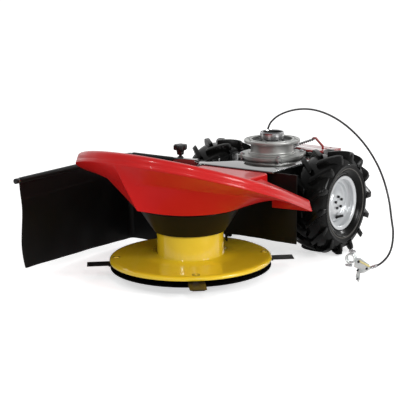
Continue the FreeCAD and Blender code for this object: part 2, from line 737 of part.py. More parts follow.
# --- engine adapter and input hub ---------------------------------------------------------
adapter = turned([
    (INPUT_SHAFT_R + RUN_FIT, PLATE_TOP_Z),
    (NECK_R + 4, PLATE_TOP_Z),
    (NECK_R, PLATE_TOP_Z + 4),
    (NECK_R, FLANGE_LOW_Z),
    (FLANGE_LOW_R - EAR_STAND, FLANGE_LOW_Z),
    (FLANGE_LOW_R - EAR_STAND, FLANGE_LOW_Z + FLANGE_LOW_T),
    (NECK_R + 5, FLANGE_LOW_Z + FLANGE_LOW_T),
    (NECK_R, FLANGE_LOW_Z + FLANGE_LOW_T + 4),
    (NECK_R, FLANGE_TOP_Z - FLANGE_TOP_T),
    (FLANGE_TOP_R, FLANGE_TOP_Z - FLANGE_TOP_T + 3),
    (FLANGE_TOP_R, FLANGE_TOP_Z),
    (RECESS_R, FLANGE_TOP_Z),
    (RECESS_R, FLANGE_TOP_Z - RECESS_DEEP),
    (INPUT_SHAFT_R + RUN_FIT, FLANGE_TOP_Z - RECESS_DEEP),
])
ear_r = FLANGE_LOW_R - EAR_R
ear_top_z = FLANGE_LOW_Z + FLANGE_LOW_T
ear_ways = []
for i in range(EAR_COUNT):
    a = math.radians(EAR_FIRST_DEG + 360.0 / EAR_COUNT * i)
    ear_ways.append(V(math.cos(a), math.sin(a), 0))
    ear = cylinder(EAR_R, ear_ways[-1] * ear_r + Z_AXIS * FLANGE_LOW_Z, FLANGE_LOW_T)
    web = block(0, ear_r, -EAR_R, EAR_R, FLANGE_LOW_Z, ear_top_z)
    web = web.cut(cylinder(NECK_R - 8, V(0, 0, PLATE_TOP_Z), FLANGE_TOP_Z - PLATE_TOP_Z))
    web.rotate(V(0, 0, 0), Z_AXIS, math.degrees(a))
    adapter = adapter.fuse(ear).fuse(web)
studs = []
for i, way in enumerate(ear_ways):
    bolt_spot = way * (ENGINE_BOLT_CIRCLE / 2) + Z_AXIS * ear_top_z
    adapter = adapter.cut(cylinder(ENGINE_BOLT_HOLE_R, bolt_spot, FLANGE_TOP_Z))
    foot = way * ear_r + Z_AXIS * PLATE_TOP_Z
    shank = cylinder(EAR_BOLT_R, foot, ear_top_z - PLATE_TOP_Z)
    adapter = adapter.cut(shank)
    stud = [shank, cylinder(EAR_SPACER_R, foot, FLANGE_LOW_Z - PLATE_TOP_Z)]
    if i != CABLE_EAR:
        stud.append(cylinder(EAR_BOLT_HEAD_R, way * ear_r + Z_AXIS * ear_top_z, EAR_BOLT_HEAD))
    stud = joined(stud)
    stud.translate(V(0, ADAPTER_Y, 0))
    studs.append(stud)
adapter = adapter.removeSplitter()
adapter.translate(V(0, ADAPTER_Y, 0))
save("engine_adapter", adapter)
save("adapter_studs", Part.makeCompound(studs))
input_hub = turned([
    (INPUT_BORE_R, INPUT_WEB_Z),
    (INPUT_R - INPUT_WALL, INPUT_WEB_Z),
    (INPUT_R - INPUT_WALL - 1, INPUT_TOP_Z),
    (INPUT_R - 5, INPUT_TOP_Z),
    (INPUT_R, INPUT_TOP_Z - 5),
    (INPUT_R, FLANGE_TOP_Z + 4),
    (INPUT_R - 6, FLANGE_TOP_Z - 1),
    (INPUT_SHAFT_R, FLANGE_TOP_Z - 1),
    (INPUT_SHAFT_R, FLANGE_LOW_Z + 2),
    (INPUT_BORE_R, FLANGE_LOW_Z + 2),
], V(0, ADAPTER_Y, 0))
save("input_hub", input_hub)

# --- apron -----------------------------------------------------------------------------
apron = block(-APRON_HALF, APRON_HALF, APRON_FRONT_Y, APRON_FRONT_Y + APRON_T,
              APRON_LOW_Z, nose_top)
rail = block(-APRON_HALF, APRON_HALF, APRON_FRONT_Y + APRON_T,
             APRON_FRONT_Y + APRON_T + RAIL_T, nose_top - RAIL_H, nose_top)
notch = block(-NOSE_HALF, NOSE_HALF, APRON_FRONT_Y - 20, BOX_FRONT_Y, NOSE_LOW_Z, PLATE_TOP_Z)
save("rear_apron", apron.cut(notch))
save("apron_rail", rail.cut(notch))

# --- curtain arm --------------------------------------------------------------------------


def bent_path(z, in_x, front_y, bend):
    corner = V(TUBE_FAR_X, TUBE_Y, z)
    first = V(in_x, TUBE_Y, z)
    last = V(TUBE_FAR_X, front_y, z)
    a = corner + X_AXIS * bend
    b = corner - Y_AXIS * bend
    middle = corner + V(bend, -bend, 0) * (1 - math.sqrt(0.5))
    arc = Part.Arc(a, middle, b).toShape()
    return Part.Wire([Part.makeLine(first, a), arc, Part.makeLine(b, last)])


def piped(path, start, direction, radius):
    circle = Part.Wire([Part.makeCircle(radius, start, direction)])
    return path.makePipeShell([circle], True, False)


tube_start = V(TUBE_IN_X, TUBE_Y, TUBE_Z)
tube_path = bent_path(TUBE_Z, TUBE_IN_X, TUBE_FRONT_Y, TUBE_BEND_R)
curtain_tube = piped(tube_path, tube_start, X_AXIS, TUBE_R)
curtain_tube = curtain_tube.cut(piped(tube_path, tube_start, X_AXIS, TUBE_R - TUBE_WALL))
save("curtain_tube", curtain_tube)
cap = cylinder(TUBE_R + CAP_WALL, V(TUBE_FAR_X, TUBE_FRONT_Y, TUBE_Z), CAP_LENGTH, V(0, -1, 0))
save("tube_cap", cap)


def curtain_wall(outer, thick, low_z, high_z, front_y, in_x):
    """Upright sheet along the arm, round at the corner."""
    r = TUBE_BEND_R + outer
    corner_x = TUBE_FAR_X + TUBE_BEND_R
    corner_y = TUBE_Y - TUBE_BEND_R
    side = block(corner_x - r, corner_x - r + thick, front_y, corner_y, low_z, high_z)
    back = block(corner_x, in_x, corner_y + r - thick, corner_y + r, low_z, high_z)
    base = V(corner_x, corner_y, low_z)
    height = high_z - low_z
    bend = Part.makeCylinder(r, height, base, Z_AXIS, 90)
    bend = bend.cut(Part.makeCylinder(r - thick, height, base, Z_AXIS, 90))
    bend.rotate(base, Z_AXIS, 90)
    return joined([side, back, bend])


loop_mid_z = TUBE_Z - TUBE_R - HEM_T / 2
curtain = curtain_wall(CURTAIN_T / 2, CURTAIN_T, CURTAIN_LOW_Z, loop_mid_z,
                       CURTAIN_FRONT_Y, CURTAIN_IN_X)
low_cut = prism([V(TUBE_FAR_X - 60, CURTAIN_FRONT_Y - 1, CURTAIN_LOW_Z - 1),
                 V(TUBE_FAR_X - 60, CURTAIN_FRONT_Y - 1, CURTAIN_LOW_FRONT_Z),
                 V(TUBE_FAR_X - 60, TUBE_Y - 60, CURTAIN_LOW_Z)], V(100, 0, 0))
curtain = curtain.cut(low_cut)
knife_notch = block(CURTAIN_NOTCH_X, CURTAIN_IN_X + 10, TUBE_Y - 20, TUBE_Y + 20,
                    CURTAIN_LOW_Z - 10, DISC_LIP_Z)
curtain = curtain.cut(knife_notch)
hem_runs = [(V(HEM_START_X, TUBE_Y, TUBE_Z), V(CURTAIN_IN_X, TUBE_Y, TUBE_Z)),
            (V(TUBE_FAR_X, HEM_START_Y, TUBE_Z), V(TUBE_FAR_X, CURTAIN_FRONT_Y, TUBE_Z))]
for hem_start, hem_end in hem_runs:
    run = hem_end - hem_start
    loop = cylinder(TUBE_R + HEM_T, hem_start, run.Length, run)
    curtain = curtain.fuse(loop)
tube_bore = piped(tube_path, tube_start, X_AXIS, TUBE_R)
save("side_curtain", curtain.cut(tube_bore).removeSplitter())

clamp = block(CLAMP_OUT_X, CLAMP_IN_X, CLAMP_FRONT_Y, CLAMP_BACK_Y,
              PLATE_TOP_Z, PLATE_TOP_Z + CLAMP_H)
rod_hole = cylinder(TUBE_R + RUN_FIT, V(CLAMP_OUT_X, TUBE_Y, TUBE_Z), CLAMP_IN_X - CLAMP_OUT_X, X_AXIS)
save("arm_clamp", clamp.cut(rod_hole))
knob_base = V(KNOB_X, TUBE_Y, PLATE_TOP_Z + CLAMP_H)
knob_dome = cylinder(KNOB_DOME_R, knob_base, KNOB_DOME_H)
knob_stud = cylinder(KNOB_STUD_R, knob_base, KNOB_STAND)
save("knob_stem", joined([knob_dome, knob_stud]))
knob_low = knob_base + Z_AXIS * KNOB_STAND
lobe_low_z = KNOB_NECK_H - 1
knob_head = turned([(0, 0), (KNOB_NECK_R - 2, 0), (KNOB_NECK_R, lobe_low_z),
                    (KNOB_CORE_R, KNOB_NECK_H), (KNOB_CORE_R, KNOB_H - 2),
                    (KNOB_CORE_R - 3, KNOB_H), (0, KNOB_H)])
lobe_ring_r = KNOB_R - KNOB_LOBE_R
for i in range(KNOB_LOBES):
    a = FULL_TURN * i / KNOB_LOBES
    spot = V(lobe_ring_r * math.cos(a), lobe_ring_r * math.sin(a), KNOB_NECK_H)
    knob_head = knob_head.fuse(cylinder(KNOB_LOBE_R, spot, KNOB_H - KNOB_NECK_H - 2))
knob_head = knob_head.removeSplitter()
knob_head.translate(knob_low)
save("star_knob", knob_head)

# --- handlebar bracket ----------------------------------------------------------------
bracket_top_z = BRACKET_Z + BRACKET_T
front = block(-BRACKET_FRONT_HALF, BRACKET_FRONT_HALF, BRACKET_FRONT_Y, BRACKET_BACK_Y,
              BRACKET_Z, bracket_top_z)
rear = block(-BRACKET_HALF, BRACKET_HALF, BRACKET_STEP_Y, BRACKET_BACK_Y, BRACKET_Z, bracket_top_z)
lip = block(-BRACKET_HALF, BRACKET_HALF, BRACKET_BACK_Y - BRACKET_T, BRACKET_BACK_Y,
            BRACKET_Z - BRACKET_LIP, BRACKET_Z)
adapter_room = cylinder(FLANGE_LOW_R + POST_GAP, V(0, ADAPTER_Y, PLATE_TOP_Z), FLANGE_TOP_Z)
bracket = joined([front, rear, lip]).cut(adapter_room)
for x in (-BAR_HOLE_X / 2, BAR_HOLE_X / 2):
    for y in (BAR_HOLE_MID_Y - BAR_HOLE_Y / 2, BAR_HOLE_MID_Y + BAR_HOLE_Y / 2):
        bracket = bracket.cut(cylinder(BAR_HOLE_R, V(x, y, PLATE_TOP_Z), FLANGE_TOP_Z))
save("handlebar_bracket", bracket)
posts = []
for x in (-POST_X, POST_X):
    post = block(x - POST_HALF, x + POST_HALF, BRACKET_FRONT_Y, PLATE_BACK_Y, PLATE_TOP_Z, BRACKET_Z)
    posts.append(post.cut(adapter_room))
save("bracket_posts", Part.makeCompound(posts))
screw_run = SCREW_END - SCREW_START
screw = cylinder(SCREW_R, SCREW_START, screw_run.Length, screw_run)
nut = block(SCREW_START.x - SCREW_NUT / 2, SCREW_START.x + SCREW_NUT / 2,
            SCREW_START.y - SCREW_NUT / 2, SCREW_START.y + SCREW_NUT / 2,
            ear_top_z, SCREW_START.z + SCREW_NUT / 2)
save("adjuster_screw", joined([nut, screw]))
stay_points = [V(x, SCREW_END.y - STAY_T / 2, bracket_top_z + up) for x, up in STAY_OUTLINE]
stay = prism(stay_points, Y_AXIS * STAY_T)
socket = cylinder(SCREW_R + RUN_FIT, SCREW_START, screw_run.Length, screw_run)
save("adjuster_blocks", stay.cut(socket))

# --- cable ------------------------------------------------------------------------------
cable_ear = ear_ways[CABLE_EAR] * ear_r + Y_AXIS * ADAPTER_Y
nodes = [cable_ear + Z_AXIS * CABLE_START_Z]
nodes += [cable_ear + CABLE_HEADING * s + Z_AXIS * z for s, z in CABLE_RUNS]
nodes += CABLE_TAIL


def rounded_wire(points):
    edges = []
    here = points[0]
    for before, corner, after in zip(points, points[1:], points[2:]):
        back = before - corner
        ahead = after - corner
        half_turn = (math.pi - back.getAngle(ahead)) / 2
        shorter = min(back.Length, ahead.Length)
        reach = 0.45 * shorter
        radius = reach / math.tan(half_turn)
        print("cable bend radius %.0f run %.0f" % (radius, back.Length))
        back.normalize()
        ahead.normalize()
        a = corner + back * reach
        b = corner + ahead * reach
        bisector = back + ahead
        bisector.normalize()
        centre = corner + bisector * (radius / math.cos(half_turn))
        middle = centre - bisector * radius
        edges.append(Part.makeLine(here, a))
        edges.append(Part.Arc(a, middle, b).toShape())
        here = b
    edges.append(Part.makeLine(here, points[-1]))
    return Part.Wire(edges)


cable_path = rounded_wire(nodes)
first_way = nodes[1] - nodes[0]
cable = piped(cable_path, nodes[0], first_way, CABLE_D / 2)
section = math.pi * CABLE_D * CABLE_D / 4
print("cable volume ratio %.4f length %.1f" % (cable.Volume / (section * cable_path.Length),
                                               cable_path.Length))
save("clutch_cable", cable)
cable_foot = V(nodes[0].x, nodes[0].y, FLANGE_LOW_Z + FLANGE_LOW_T)
cable_stand = cylinder(STAND_R, cable_foot, nodes[0].z + STAND_GRIP - cable_foot.z)
cable_socket = cylinder(CABLE_D / 2 + RUN_FIT, nodes[0], STAND_GRIP * 4, first_way)
save("cable_stand", cable_stand.cut(cable_socket))

# --- clutch lever, lying where the cable carries it -----------------------------------
half_t = LEVER_T / 2
lever_body = lever_prism(BODY_OUTLINE, -half_t, LEVER_T)
save("lever_body", lever_body)
save("lever_blade", lever_prism(BLADE_OUTLINE, half_t, LEVER_T))
bar_u, bar_z = BAR_AT
ring_out = lever_rod(BAR_CLAMP_R, bar_u, bar_z, -BAR_CLAMP_W / 2, BAR_CLAMP_W)
ring_in = lever_rod(BAR_BORE_R, bar_u, bar_z, -BAR_CLAMP_W, 2 * BAR_CLAMP_W)
bar_clamp = ring_out.cut(ring_in).cut(lever_body)
wing_screws = []
for u, z, way in WING_SPOTS:
    stem_z = z + WING_STEM_H * way
    low_z = z + WING_LOW * way
    top_z = z + WING_TOP * way
    stem = lever_prism([(u - WING_STEM, z), (u + WING_STEM, z), (u + WING_STEM, stem_z),
                        (u - WING_STEM, stem_z)], -WING_STEM, 2 * WING_STEM)
    wings = lever_prism([(u - WING_SPAN, low_z), (u + WING_SPAN, low_z),
                         (u + WING_SPAN - 2, top_z), (u - WING_SPAN + 2, top_z)],
                        -WING_T / 2, WING_T)
    wing_screws.append(joined([stem, wings]))
both_screws = Part.makeCompound(wing_screws)
save("handlebar_clamp", bar_clamp.cut(both_screws))
save("wing_screws", both_screws)
save("lever_latch", lever_prism(LATCH_OUTLINE, -half_t - LATCH_T, LATCH_T))
ferrule_way = nodes[-1] - nodes[-2]
ferrule_way.normalize()
ferrule = cylinder(FERRULE_R, nodes[-1], FERRULE_LENGTH, ferrule_way)
save("cable_ferrule", ferrule.cut(lever_body))
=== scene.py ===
# %% [markdown]
# # Drum mower
# The machine's solids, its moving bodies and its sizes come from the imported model, in metres, with the
# floor at height zero and the drum's axis through the origin. Mowing goes towards -Y and the operator's
# left is +X. This lesson dresses those solids: it gives every piece its finish, rounds what is pressed or
# cast, and adds the small things that a maker would see at once.

# %% Load the frame
import json
import math
import bmesh
import bpy
from mathutils import Matrix, Vector

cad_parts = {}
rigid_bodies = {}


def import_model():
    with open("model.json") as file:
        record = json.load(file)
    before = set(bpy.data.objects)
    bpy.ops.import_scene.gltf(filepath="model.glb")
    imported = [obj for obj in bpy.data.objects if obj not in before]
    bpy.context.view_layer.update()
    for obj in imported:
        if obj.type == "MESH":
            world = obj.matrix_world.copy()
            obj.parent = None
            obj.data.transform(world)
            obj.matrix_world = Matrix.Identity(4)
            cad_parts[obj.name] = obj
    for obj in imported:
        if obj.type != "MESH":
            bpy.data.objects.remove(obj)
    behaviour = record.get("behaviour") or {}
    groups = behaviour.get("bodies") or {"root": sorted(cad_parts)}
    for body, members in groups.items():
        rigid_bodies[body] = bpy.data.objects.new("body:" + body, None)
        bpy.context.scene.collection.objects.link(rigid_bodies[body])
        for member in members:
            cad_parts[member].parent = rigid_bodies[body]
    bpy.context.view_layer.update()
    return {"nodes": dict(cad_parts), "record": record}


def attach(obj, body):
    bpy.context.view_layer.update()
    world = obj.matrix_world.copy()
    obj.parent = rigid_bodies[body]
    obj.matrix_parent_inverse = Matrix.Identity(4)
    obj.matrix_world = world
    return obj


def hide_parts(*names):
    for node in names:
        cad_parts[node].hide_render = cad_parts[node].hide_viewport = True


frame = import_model()
nodes = frame["nodes"]

# %% [markdown]
# ## Colours and nodes
# A paint chart gives colours the way a screen shows them. The shader wants them as amounts of light, so
# `paint` converts each of them. A finish is a small net of nodes: `add_node` makes one and `feed` sets its
# inputs, each to a value or to what another node gives out.

# %% Colour and node helpers


def paint(red, green, blue):
    """A screen colour from 0 to 255 as the shader's amounts of light."""
    amounts = []
    for part in (red, green, blue):
        c = part / 255.0
        amounts.append(c / 12.92 if c <= 0.04045 else ((c + 0.055) / 1.055) ** 2.4)
    return (*amounts, 1.0)


def feed(tree, node, inputs):
    """Sets inputs of a node by name or number, to a value or to another node's output."""
    for name, given in inputs.items():
        if isinstance(given, bpy.types.NodeSocket):
            tree.links.new(given, node.inputs[name])
        else:
            node.inputs[name].default_value = given


def add_node(tree, kind, inputs, **settings):
    """A new node with its own settings and its inputs fed."""
    node = tree.nodes.new("ShaderNode" + kind)
    for name, setting in settings.items():
        setattr(node, name, setting)
    feed(tree, node, inputs)
    return node


def feed_shader(material, inputs):
    """Feeds the shader that a material starts with."""
    feed(material.node_tree, material.node_tree.nodes["Principled BSDF"], inputs)


print("full white as light:", paint(255, 255, 255))

# %% [markdown]
# ## Finishes
# Every finish starts from the same three things: a colour that varies a little, a roughness that varies
# a little, and a fine bump. `finish` wires a noise pattern on the object's own coordinates to those three,
# and each material below only says how strong they are. What is the same all over is set on the shader.

# %% Finish helper
PATCH_STOPS = (0.35, 0.65)
PATCH_DETAIL = 5.0
GRAIN_DETAIL = 3.0
GRAIN_DEPTH = 0.0004
COAT_ROUGHNESS = 0.05


def finish(name, colour, second, roughness, spread, grain, bump, patch, metallic=0.0, coat=0.0,
           specular=0.5):
    """A procedural material: patches of two near colours, uneven roughness and a fine bump."""
    material = bpy.data.materials.new(name)
    material.use_nodes = True
    tree = material.node_tree
    place = add_node(tree, "TexCoord", {}).outputs["Object"]
    patches = add_node(tree, "TexNoise", {"Vector": place, "Scale": patch, "Detail": PATCH_DETAIL})
    grains = add_node(tree, "TexNoise", {"Vector": place, "Scale": grain, "Detail": GRAIN_DETAIL})
    ramp = add_node(tree, "ValToRGB", {"Fac": patches.outputs["Fac"]})
    for stop, position, shade in zip(ramp.color_ramp.elements, PATCH_STOPS, (second, colour)):
        stop.position = position
        stop.color = paint(*shade)
    rough = add_node(tree, "MapRange", {"Value": grains.outputs["Fac"],
                                        "To Min": max(0.0, roughness - spread),
                                        "To Max": roughness + spread})
    relief = add_node(tree, "Bump", {"Height": grains.outputs["Fac"], "Strength": bump,
                                     "Distance": GRAIN_DEPTH})
    feed_shader(material, {
        "Metallic": metallic, "Specular IOR Level": specular, "Coat Weight": coat,
        "Coat Roughness": COAT_ROUGHNESS, "Base Color": ramp.outputs["Color"],
        "Roughness": rough.outputs["Result"], "Normal": relief.outputs["Normal"]})
    return material


print("finish helper ready")

# %% [markdown]
# Two finishes need more than that. The hood's gloss is strong where it faces the sky and weak on its
# underside, so `by_slope` ties an amount to the way a face looks. The room that the drive cup's turned
# wall mirrors is painted into its colour as upright stripes: `streaked` draws this painted reflection
# round its axis.

# %% Slope and streak helpers
LOOKS_DOWN, LOOKS_LEVEL = -0.3, 0.0
STREAK_FROM, STREAK_TO = 0.1, 0.8


def by_slope(material, amount, facing_down, otherwise):
    """Gives one amount of a shader another value on faces that look down."""
    tree = material.node_tree
    normal = add_node(tree, "TexCoord", {}).outputs["Normal"]
    apart = add_node(tree, "SeparateXYZ", {0: normal})
    turn = add_node(tree, "MapRange", {"Value": apart.outputs["Z"], "From Min": LOOKS_DOWN,
                                       "From Max": LOOKS_LEVEL, "To Min": facing_down,
                                       "To Max": otherwise})
    feed_shader(material, {amount: turn.outputs["Result"]})


def streaked(material, centre, streaks, dark):
    """Painted reflection: upright light and dark streaks in the colour round an axis, as a turned wall
    mirrors a bright room.
    """
    tree = material.node_tree
    shader = tree.nodes["Principled BSDF"]
    plain = shader.inputs["Base Color"].links[0].from_socket
    place = add_node(tree, "TexCoord", {}).outputs["Object"]
    shift = add_node(tree, "VectorMath", {0: place, 1: centre}, operation="SUBTRACT")
    apart = add_node(tree, "SeparateXYZ", {0: shift.outputs["Vector"]})
    around = add_node(tree, "Math", {0: apart.outputs["Y"], 1: apart.outputs["X"]},
                      operation="ARCTAN2")
    often = add_node(tree, "Math", {0: around.outputs["Value"], 1: streaks}, operation="MULTIPLY")
    wave = add_node(tree, "Math", {0: often.outputs["Value"]}, operation="SINE")
    level = add_node(tree, "MapRange", {"Value": wave.outputs["Value"], "From Min": STREAK_FROM,
                                        "From Max": STREAK_TO, "To Min": dark, "To Max": 1.0})
    shaded = add_node(tree, "VectorMath", {0: plain, "Scale": level.outputs["Result"]},
                      operation="SCALE")
    feed_shader(material, {"Base Color": shaded.outputs["Vector"]})
    return material


print("slope and streak helpers ready")

# %% [markdown]
# ## The paints, metals, rubbers and plastics
# The hood and the drum are sprayed with a hard gloss, the frame with a black one. The cast adapter is
# left bare. The tyres are new black rubber, the curtain is a smooth black sheet with a faint sheen. Each
# row gives two near colours, roughness and its spread, grain scale, bump and patch scale.

# %% Materials
ADAPTER_AXIS = (0.0, 0.441, 0.0)
GLOSS_IOR = 2.1
hood_red = finish("hood_red", (201, 28, 27), (193, 25, 25), 0.32, 0.05, 700, 0.02, 5, coat=0.32,
                  specular=0.2)
by_slope(hood_red, "Coat Weight", 0.08, 0.34)
by_slope(hood_red, "Specular IOR Level", 0.08, 0.2)
drum_yellow = finish("drum_yellow", (236, 202, 40), (228, 193, 32), 0.26, 0.05, 700, 0.015, 6,
                     coat=1.0, specular=0.3)
gloss_black = finish("gloss_black", (13, 13, 14), (10, 10, 11), 0.07, 0.02, 650, 0.004, 8,
                     coat=1.0, specular=1.0)
feed_shader(gloss_black, {"IOR": GLOSS_IOR})
collar_black = finish("collar_black", (23, 20, 14), (18, 16, 11), 0.36, 0.06, 650, 0.03, 8,
                      specular=0.12)
dark_steel = finish("dark_steel", (22, 22, 23), (15, 15, 16), 0.42, 0.1, 500, 0.06, 12)
saucer_black = finish("saucer_black", (11, 11, 10), (8, 8, 8), 0.75, 0.08, 500, 0.05, 9, specular=0.05)
sheet_rubber = finish("sheet_rubber", (12, 12, 12), (9, 9, 9), 0.42, 0.08, 900, 0.06, 7, specular=0.28)
tyre_rubber = finish("tyre_rubber", (15, 15, 14), (10, 10, 10), 0.22, 0.08, 900, 0.05, 14, specular=0.14)
# painted highlight: the light grey of the raised ring on the tyre's side wall
tyre_ring_highlight = finish("tyre_ring_highlight", (84, 80, 74), (60, 57, 53), 0.4, 0.1, 900, 0.06, 30)
rim_silver = finish("rim_silver", (226, 228, 229), (216, 218, 220), 0.3, 0.05, 900, 0.02, 9, metallic=0.7)
cast_alu = finish("cast_aluminium", (186, 187, 184), (160, 161, 158), 0.42, 0.1, 600, 0.2, 16,
                  metallic=0.75)
bright_steel = finish("bright_steel", (200, 200, 202), (176, 176, 178), 0.26, 0.08, 800, 0.05, 20,
                      metallic=1.0)
dark_bolt = finish("dark_bolt", (52, 52, 54), (38, 38, 40), 0.35, 0.08, 900, 0.05, 30, metallic=0.7)
chrome = finish("chrome", (205, 205, 206), (190, 190, 192), 0.1, 0.03, 300, 0.01, 10, metallic=1.0)
# painted reflection: streaks of the mirrored room in the colour of the cup's wall
streak_reflection_steel = streaked(finish("streak_reflection_steel", (240, 240, 240), (228, 228, 229), 0.26, 0.05, 300, 0.02,
                               10, metallic=0.7), ADAPTER_AXIS, 9.0, 0.42)
knob_plastic = finish("knob_plastic", (14, 14, 14), (10, 10, 10), 0.36, 0.06, 1200, 0.08, 9)
bracket_red = finish("bracket_red", (150, 30, 28), (140, 26, 25), 0.12, 0.03, 700, 0.01, 8, coat=1.0,
                     specular=0.8)
zinc_grey = finish("zinc_grey", (222, 225, 224), (190, 194, 193), 0.32, 0.1, 900, 0.08, 60, metallic=0.4)
latch_yellow = finish("latch_yellow", (228, 214, 150), (216, 201, 134), 0.35, 0.06, 900, 0.04, 30)
cable_sleeve = finish("cable_sleeve", (40, 40, 42), (32, 32, 34), 0.35, 0.06, 1500, 0.05, 20)
knife_steel = finish("knife_steel", (22, 20, 19), (20, 19, 18), 0.38, 0.1, 600, 0.08, 20, metallic=0.4,
                     specular=0.3)
worn_steel = finish("worn_steel", (70, 60, 38), (50, 43, 28), 0.38, 0.1, 600, 0.1, 24, metallic=0.4,
                    specular=0.3)
# the valves' real black rubber, and painted shade in the pin slots, flange holes, cup bore and flange
# recess
rubber_and_shade_black = finish("rubber_and_shade_black", (12, 12, 12), (9, 9, 9), 0.6, 0.08, 900, 0.08, 20)
print("materials:", len(bpy.data.materials))

# %% [markdown]
# Each group of solids wears one finish. Every material slot of the model has a group of its name, so a
# piece made later for a slot takes its finish from the same table. The collar and the knives share a
# slot with brighter parts, so they have groups of their own.

# %% Who wears what
wears = {
    "hood_red": (hood_red, ["hood_shell", "hood_back_wall", "hood_deck"]),
    "drum_yellow": (drum_yellow, ["drum_shell"]),
    "frame_black": (gloss_black, ["frame_plate", "belt_housing", "apron_rail", "drum_scraper",
                                  "arm_clamp", "cable_stand", "curtain_tube", "saucer"]),
    "collar_black": (collar_black, ["drum_collar"]),
    "dark_steel": (dark_steel, ["gearbox", "axle_tubes", "spindle_housing", "wheel_hub_left",
                                "wheel_hub_right", "drum_hub"]),
    "rubber_sheet": (sheet_rubber, ["rear_apron", "side_curtain"]),
    "tyre": (tyre_rubber, ["tyre_left", "tyre_right"]),
    "rim_silver": (rim_silver, ["rim_left", "rim_right"]),
    "cast_aluminium": (cast_alu, ["engine_adapter"]),
    "bright_steel": (bright_steel, ["adjuster_screw", "wing_screws", "cable_ferrule", "spindle_shaft",
                                    "knife_pins", "adapter_studs"]),
    "knives": (knife_steel, ["knife_1", "knife_2", "knife_3", "knife_4"]),
    "chrome": (chrome, ["input_hub"]),
    "knob_black": (knob_plastic, ["star_knob", "knob_stem", "tube_cap"]),
    "bracket_red": (bracket_red, ["handlebar_bracket", "bracket_posts", "adjuster_blocks"]),
    "zinc_grey": (zinc_grey, ["lever_body", "lever_blade", "handlebar_clamp"]),
    "latch_yellow": (latch_yellow, ["lever_latch"]),
    "cable_black": (cable_sleeve, ["clutch_cable"]),
}
dressed = set()
for material, names in wears.values():
    for name in names:
        nodes[name].data.materials.clear()
        nodes[name].data.materials.append(material)
        dressed.add(name)
print("solids without a finish:", len(set(nodes) - dressed))

# %% [markdown]
# ## Camera
# A long lens from the operator's left front, a little above the hood, looks down on the machine. The
# camera's own axes are worked out from its two angles and its small roll.

# %% Camera
AIM = Vector((-0.1031, 0.1886, 0.17905))
DISTANCE = 3.6888
AZIMUTH = math.radians(36.8655)
ELEVATION = math.radians(12.449)
ROLL = math.radians(-1.0357)


def placed(name, data):
    """A new object in the scene for a mesh, a curve, a lamp or a lens."""
    thing = bpy.data.objects.new(name, data)
    bpy.context.scene.collection.objects.link(thing)
    return thing


towards = Vector((-math.sin(AZIMUTH) * math.cos(ELEVATION),
                  math.cos(AZIMUTH) * math.cos(ELEVATION), -math.sin(ELEVATION)))
level = Vector((math.cos(AZIMUTH), math.sin(AZIMUTH), 0.0))
upright = level.cross(towards)
across = level * math.cos(ROLL) + upright * math.sin(ROLL)
above = upright * math.cos(ROLL) - level * math.sin(ROLL)
lens = bpy.data.cameras.new("camera")
lens.sensor_width = 36.0
lens.lens = 106.65
lens.clip_end = 50.0
camera = placed("camera", lens)
turn = Matrix((across, above, -towards)).transposed().to_4x4()
camera.matrix_world = Matrix.Translation(AIM - towards * DISTANCE) @ turn
bpy.context.scene.camera = camera
print("camera at", [round(v, 3) for v in camera.location])

# %% [markdown]
# ## Bench tools
# The pieces below are all made with the same few moves. `start` leaves nothing selected, so an operator
# acts only on what comes next. `edited` makes some moves on a whole piece in edit mode, and `worked` adds
# a modifier and applies it. `soften` rounds the sharp edges, as a press, a mould or a file does: an edge
# that catches a line of light looks like a real edge. `settle` names a finished piece, puts its finish
# on, smooths its rounded faces and ties it to the body that it moves with.

# %% Selecting and editing
SAME_SPOT = 0.00001


def start():
    """Leaves edit mode with nothing selected."""
    if bpy.context.object and bpy.context.object.mode != "OBJECT":
        bpy.ops.object.mode_set(mode="OBJECT")
    bpy.ops.object.select_all(action="DESELECT")


def pick(piece):
    """Makes one piece the only selected one."""
    start()
    piece.select_set(True)
    bpy.context.view_layer.objects.active = piece
    return piece


def edited(piece, *moves):
    """Makes some moves in turn in edit mode, with all of the piece selected at first."""
    pick(piece)
    bpy.ops.object.mode_set(mode="EDIT")
    bpy.ops.mesh.select_all(action="SELECT")
    for move in moves:
        move()
    bpy.ops.object.mode_set(mode="OBJECT")
    return piece


def merge():
    """A move: the selected points that meet become one."""
    bpy.ops.mesh.remove_doubles(threshold=SAME_SPOT)


def outward():
    """A move: the selected faces turn outwards."""
    bpy.ops.mesh.normals_make_consistent(inside=False)


def worked(piece, kind, **settings):
    """Adds a modifier with its settings and applies it."""
    pick(piece)
    tool = piece.modifiers.new("tool", kind)
    for name, setting in settings.items():
        setattr(tool, name, setting)
    bpy.ops.object.modifier_apply(modifier=tool.name)
    return piece


print("selecting and editing ready")

# %% Softening and settling


def soften(piece, width, segments=2, angle=30.0):
    """Rounds every edge that is sharper than the angle."""
    return worked(piece, "BEVEL", width=width, segments=segments, limit_method="ANGLE",
                  angle_limit=math.radians(angle), miter_outer="MITER_ARC")


def settle(piece, name, body, slot, stands_for=(), angle=38.0, look=None):
    """Gives a piece its name, its finish (its slot's if no look is given), body and solids."""
    pick(piece)
    piece.name = name
    piece.data.name = name
    piece.data.materials.clear()
    piece.data.materials.append(look or wears[slot][0])
    bpy.ops.object.shade_smooth_by_angle(angle=math.radians(angle))
    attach(piece, body)
    if stands_for:
        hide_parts(*stands_for)
    return piece


def joined(pieces):
    """Several pieces as one mesh."""
    pick(pieces[0])
    for piece in pieces[1:]:
        piece.select_set(True)
    bpy.ops.object.join()
    return bpy.context.object


print("softening and settling ready")

# %% [markdown]
# ## Lathe work
# Most of this machine is round. On a lathe the outline of one side is all that matters, so `lathe` draws
# the outline of half a section point by point, each extruded from the last, and spins it about its axis.
# Points that meet are then merged, and the faces are turned outwards.

# %% Lathe


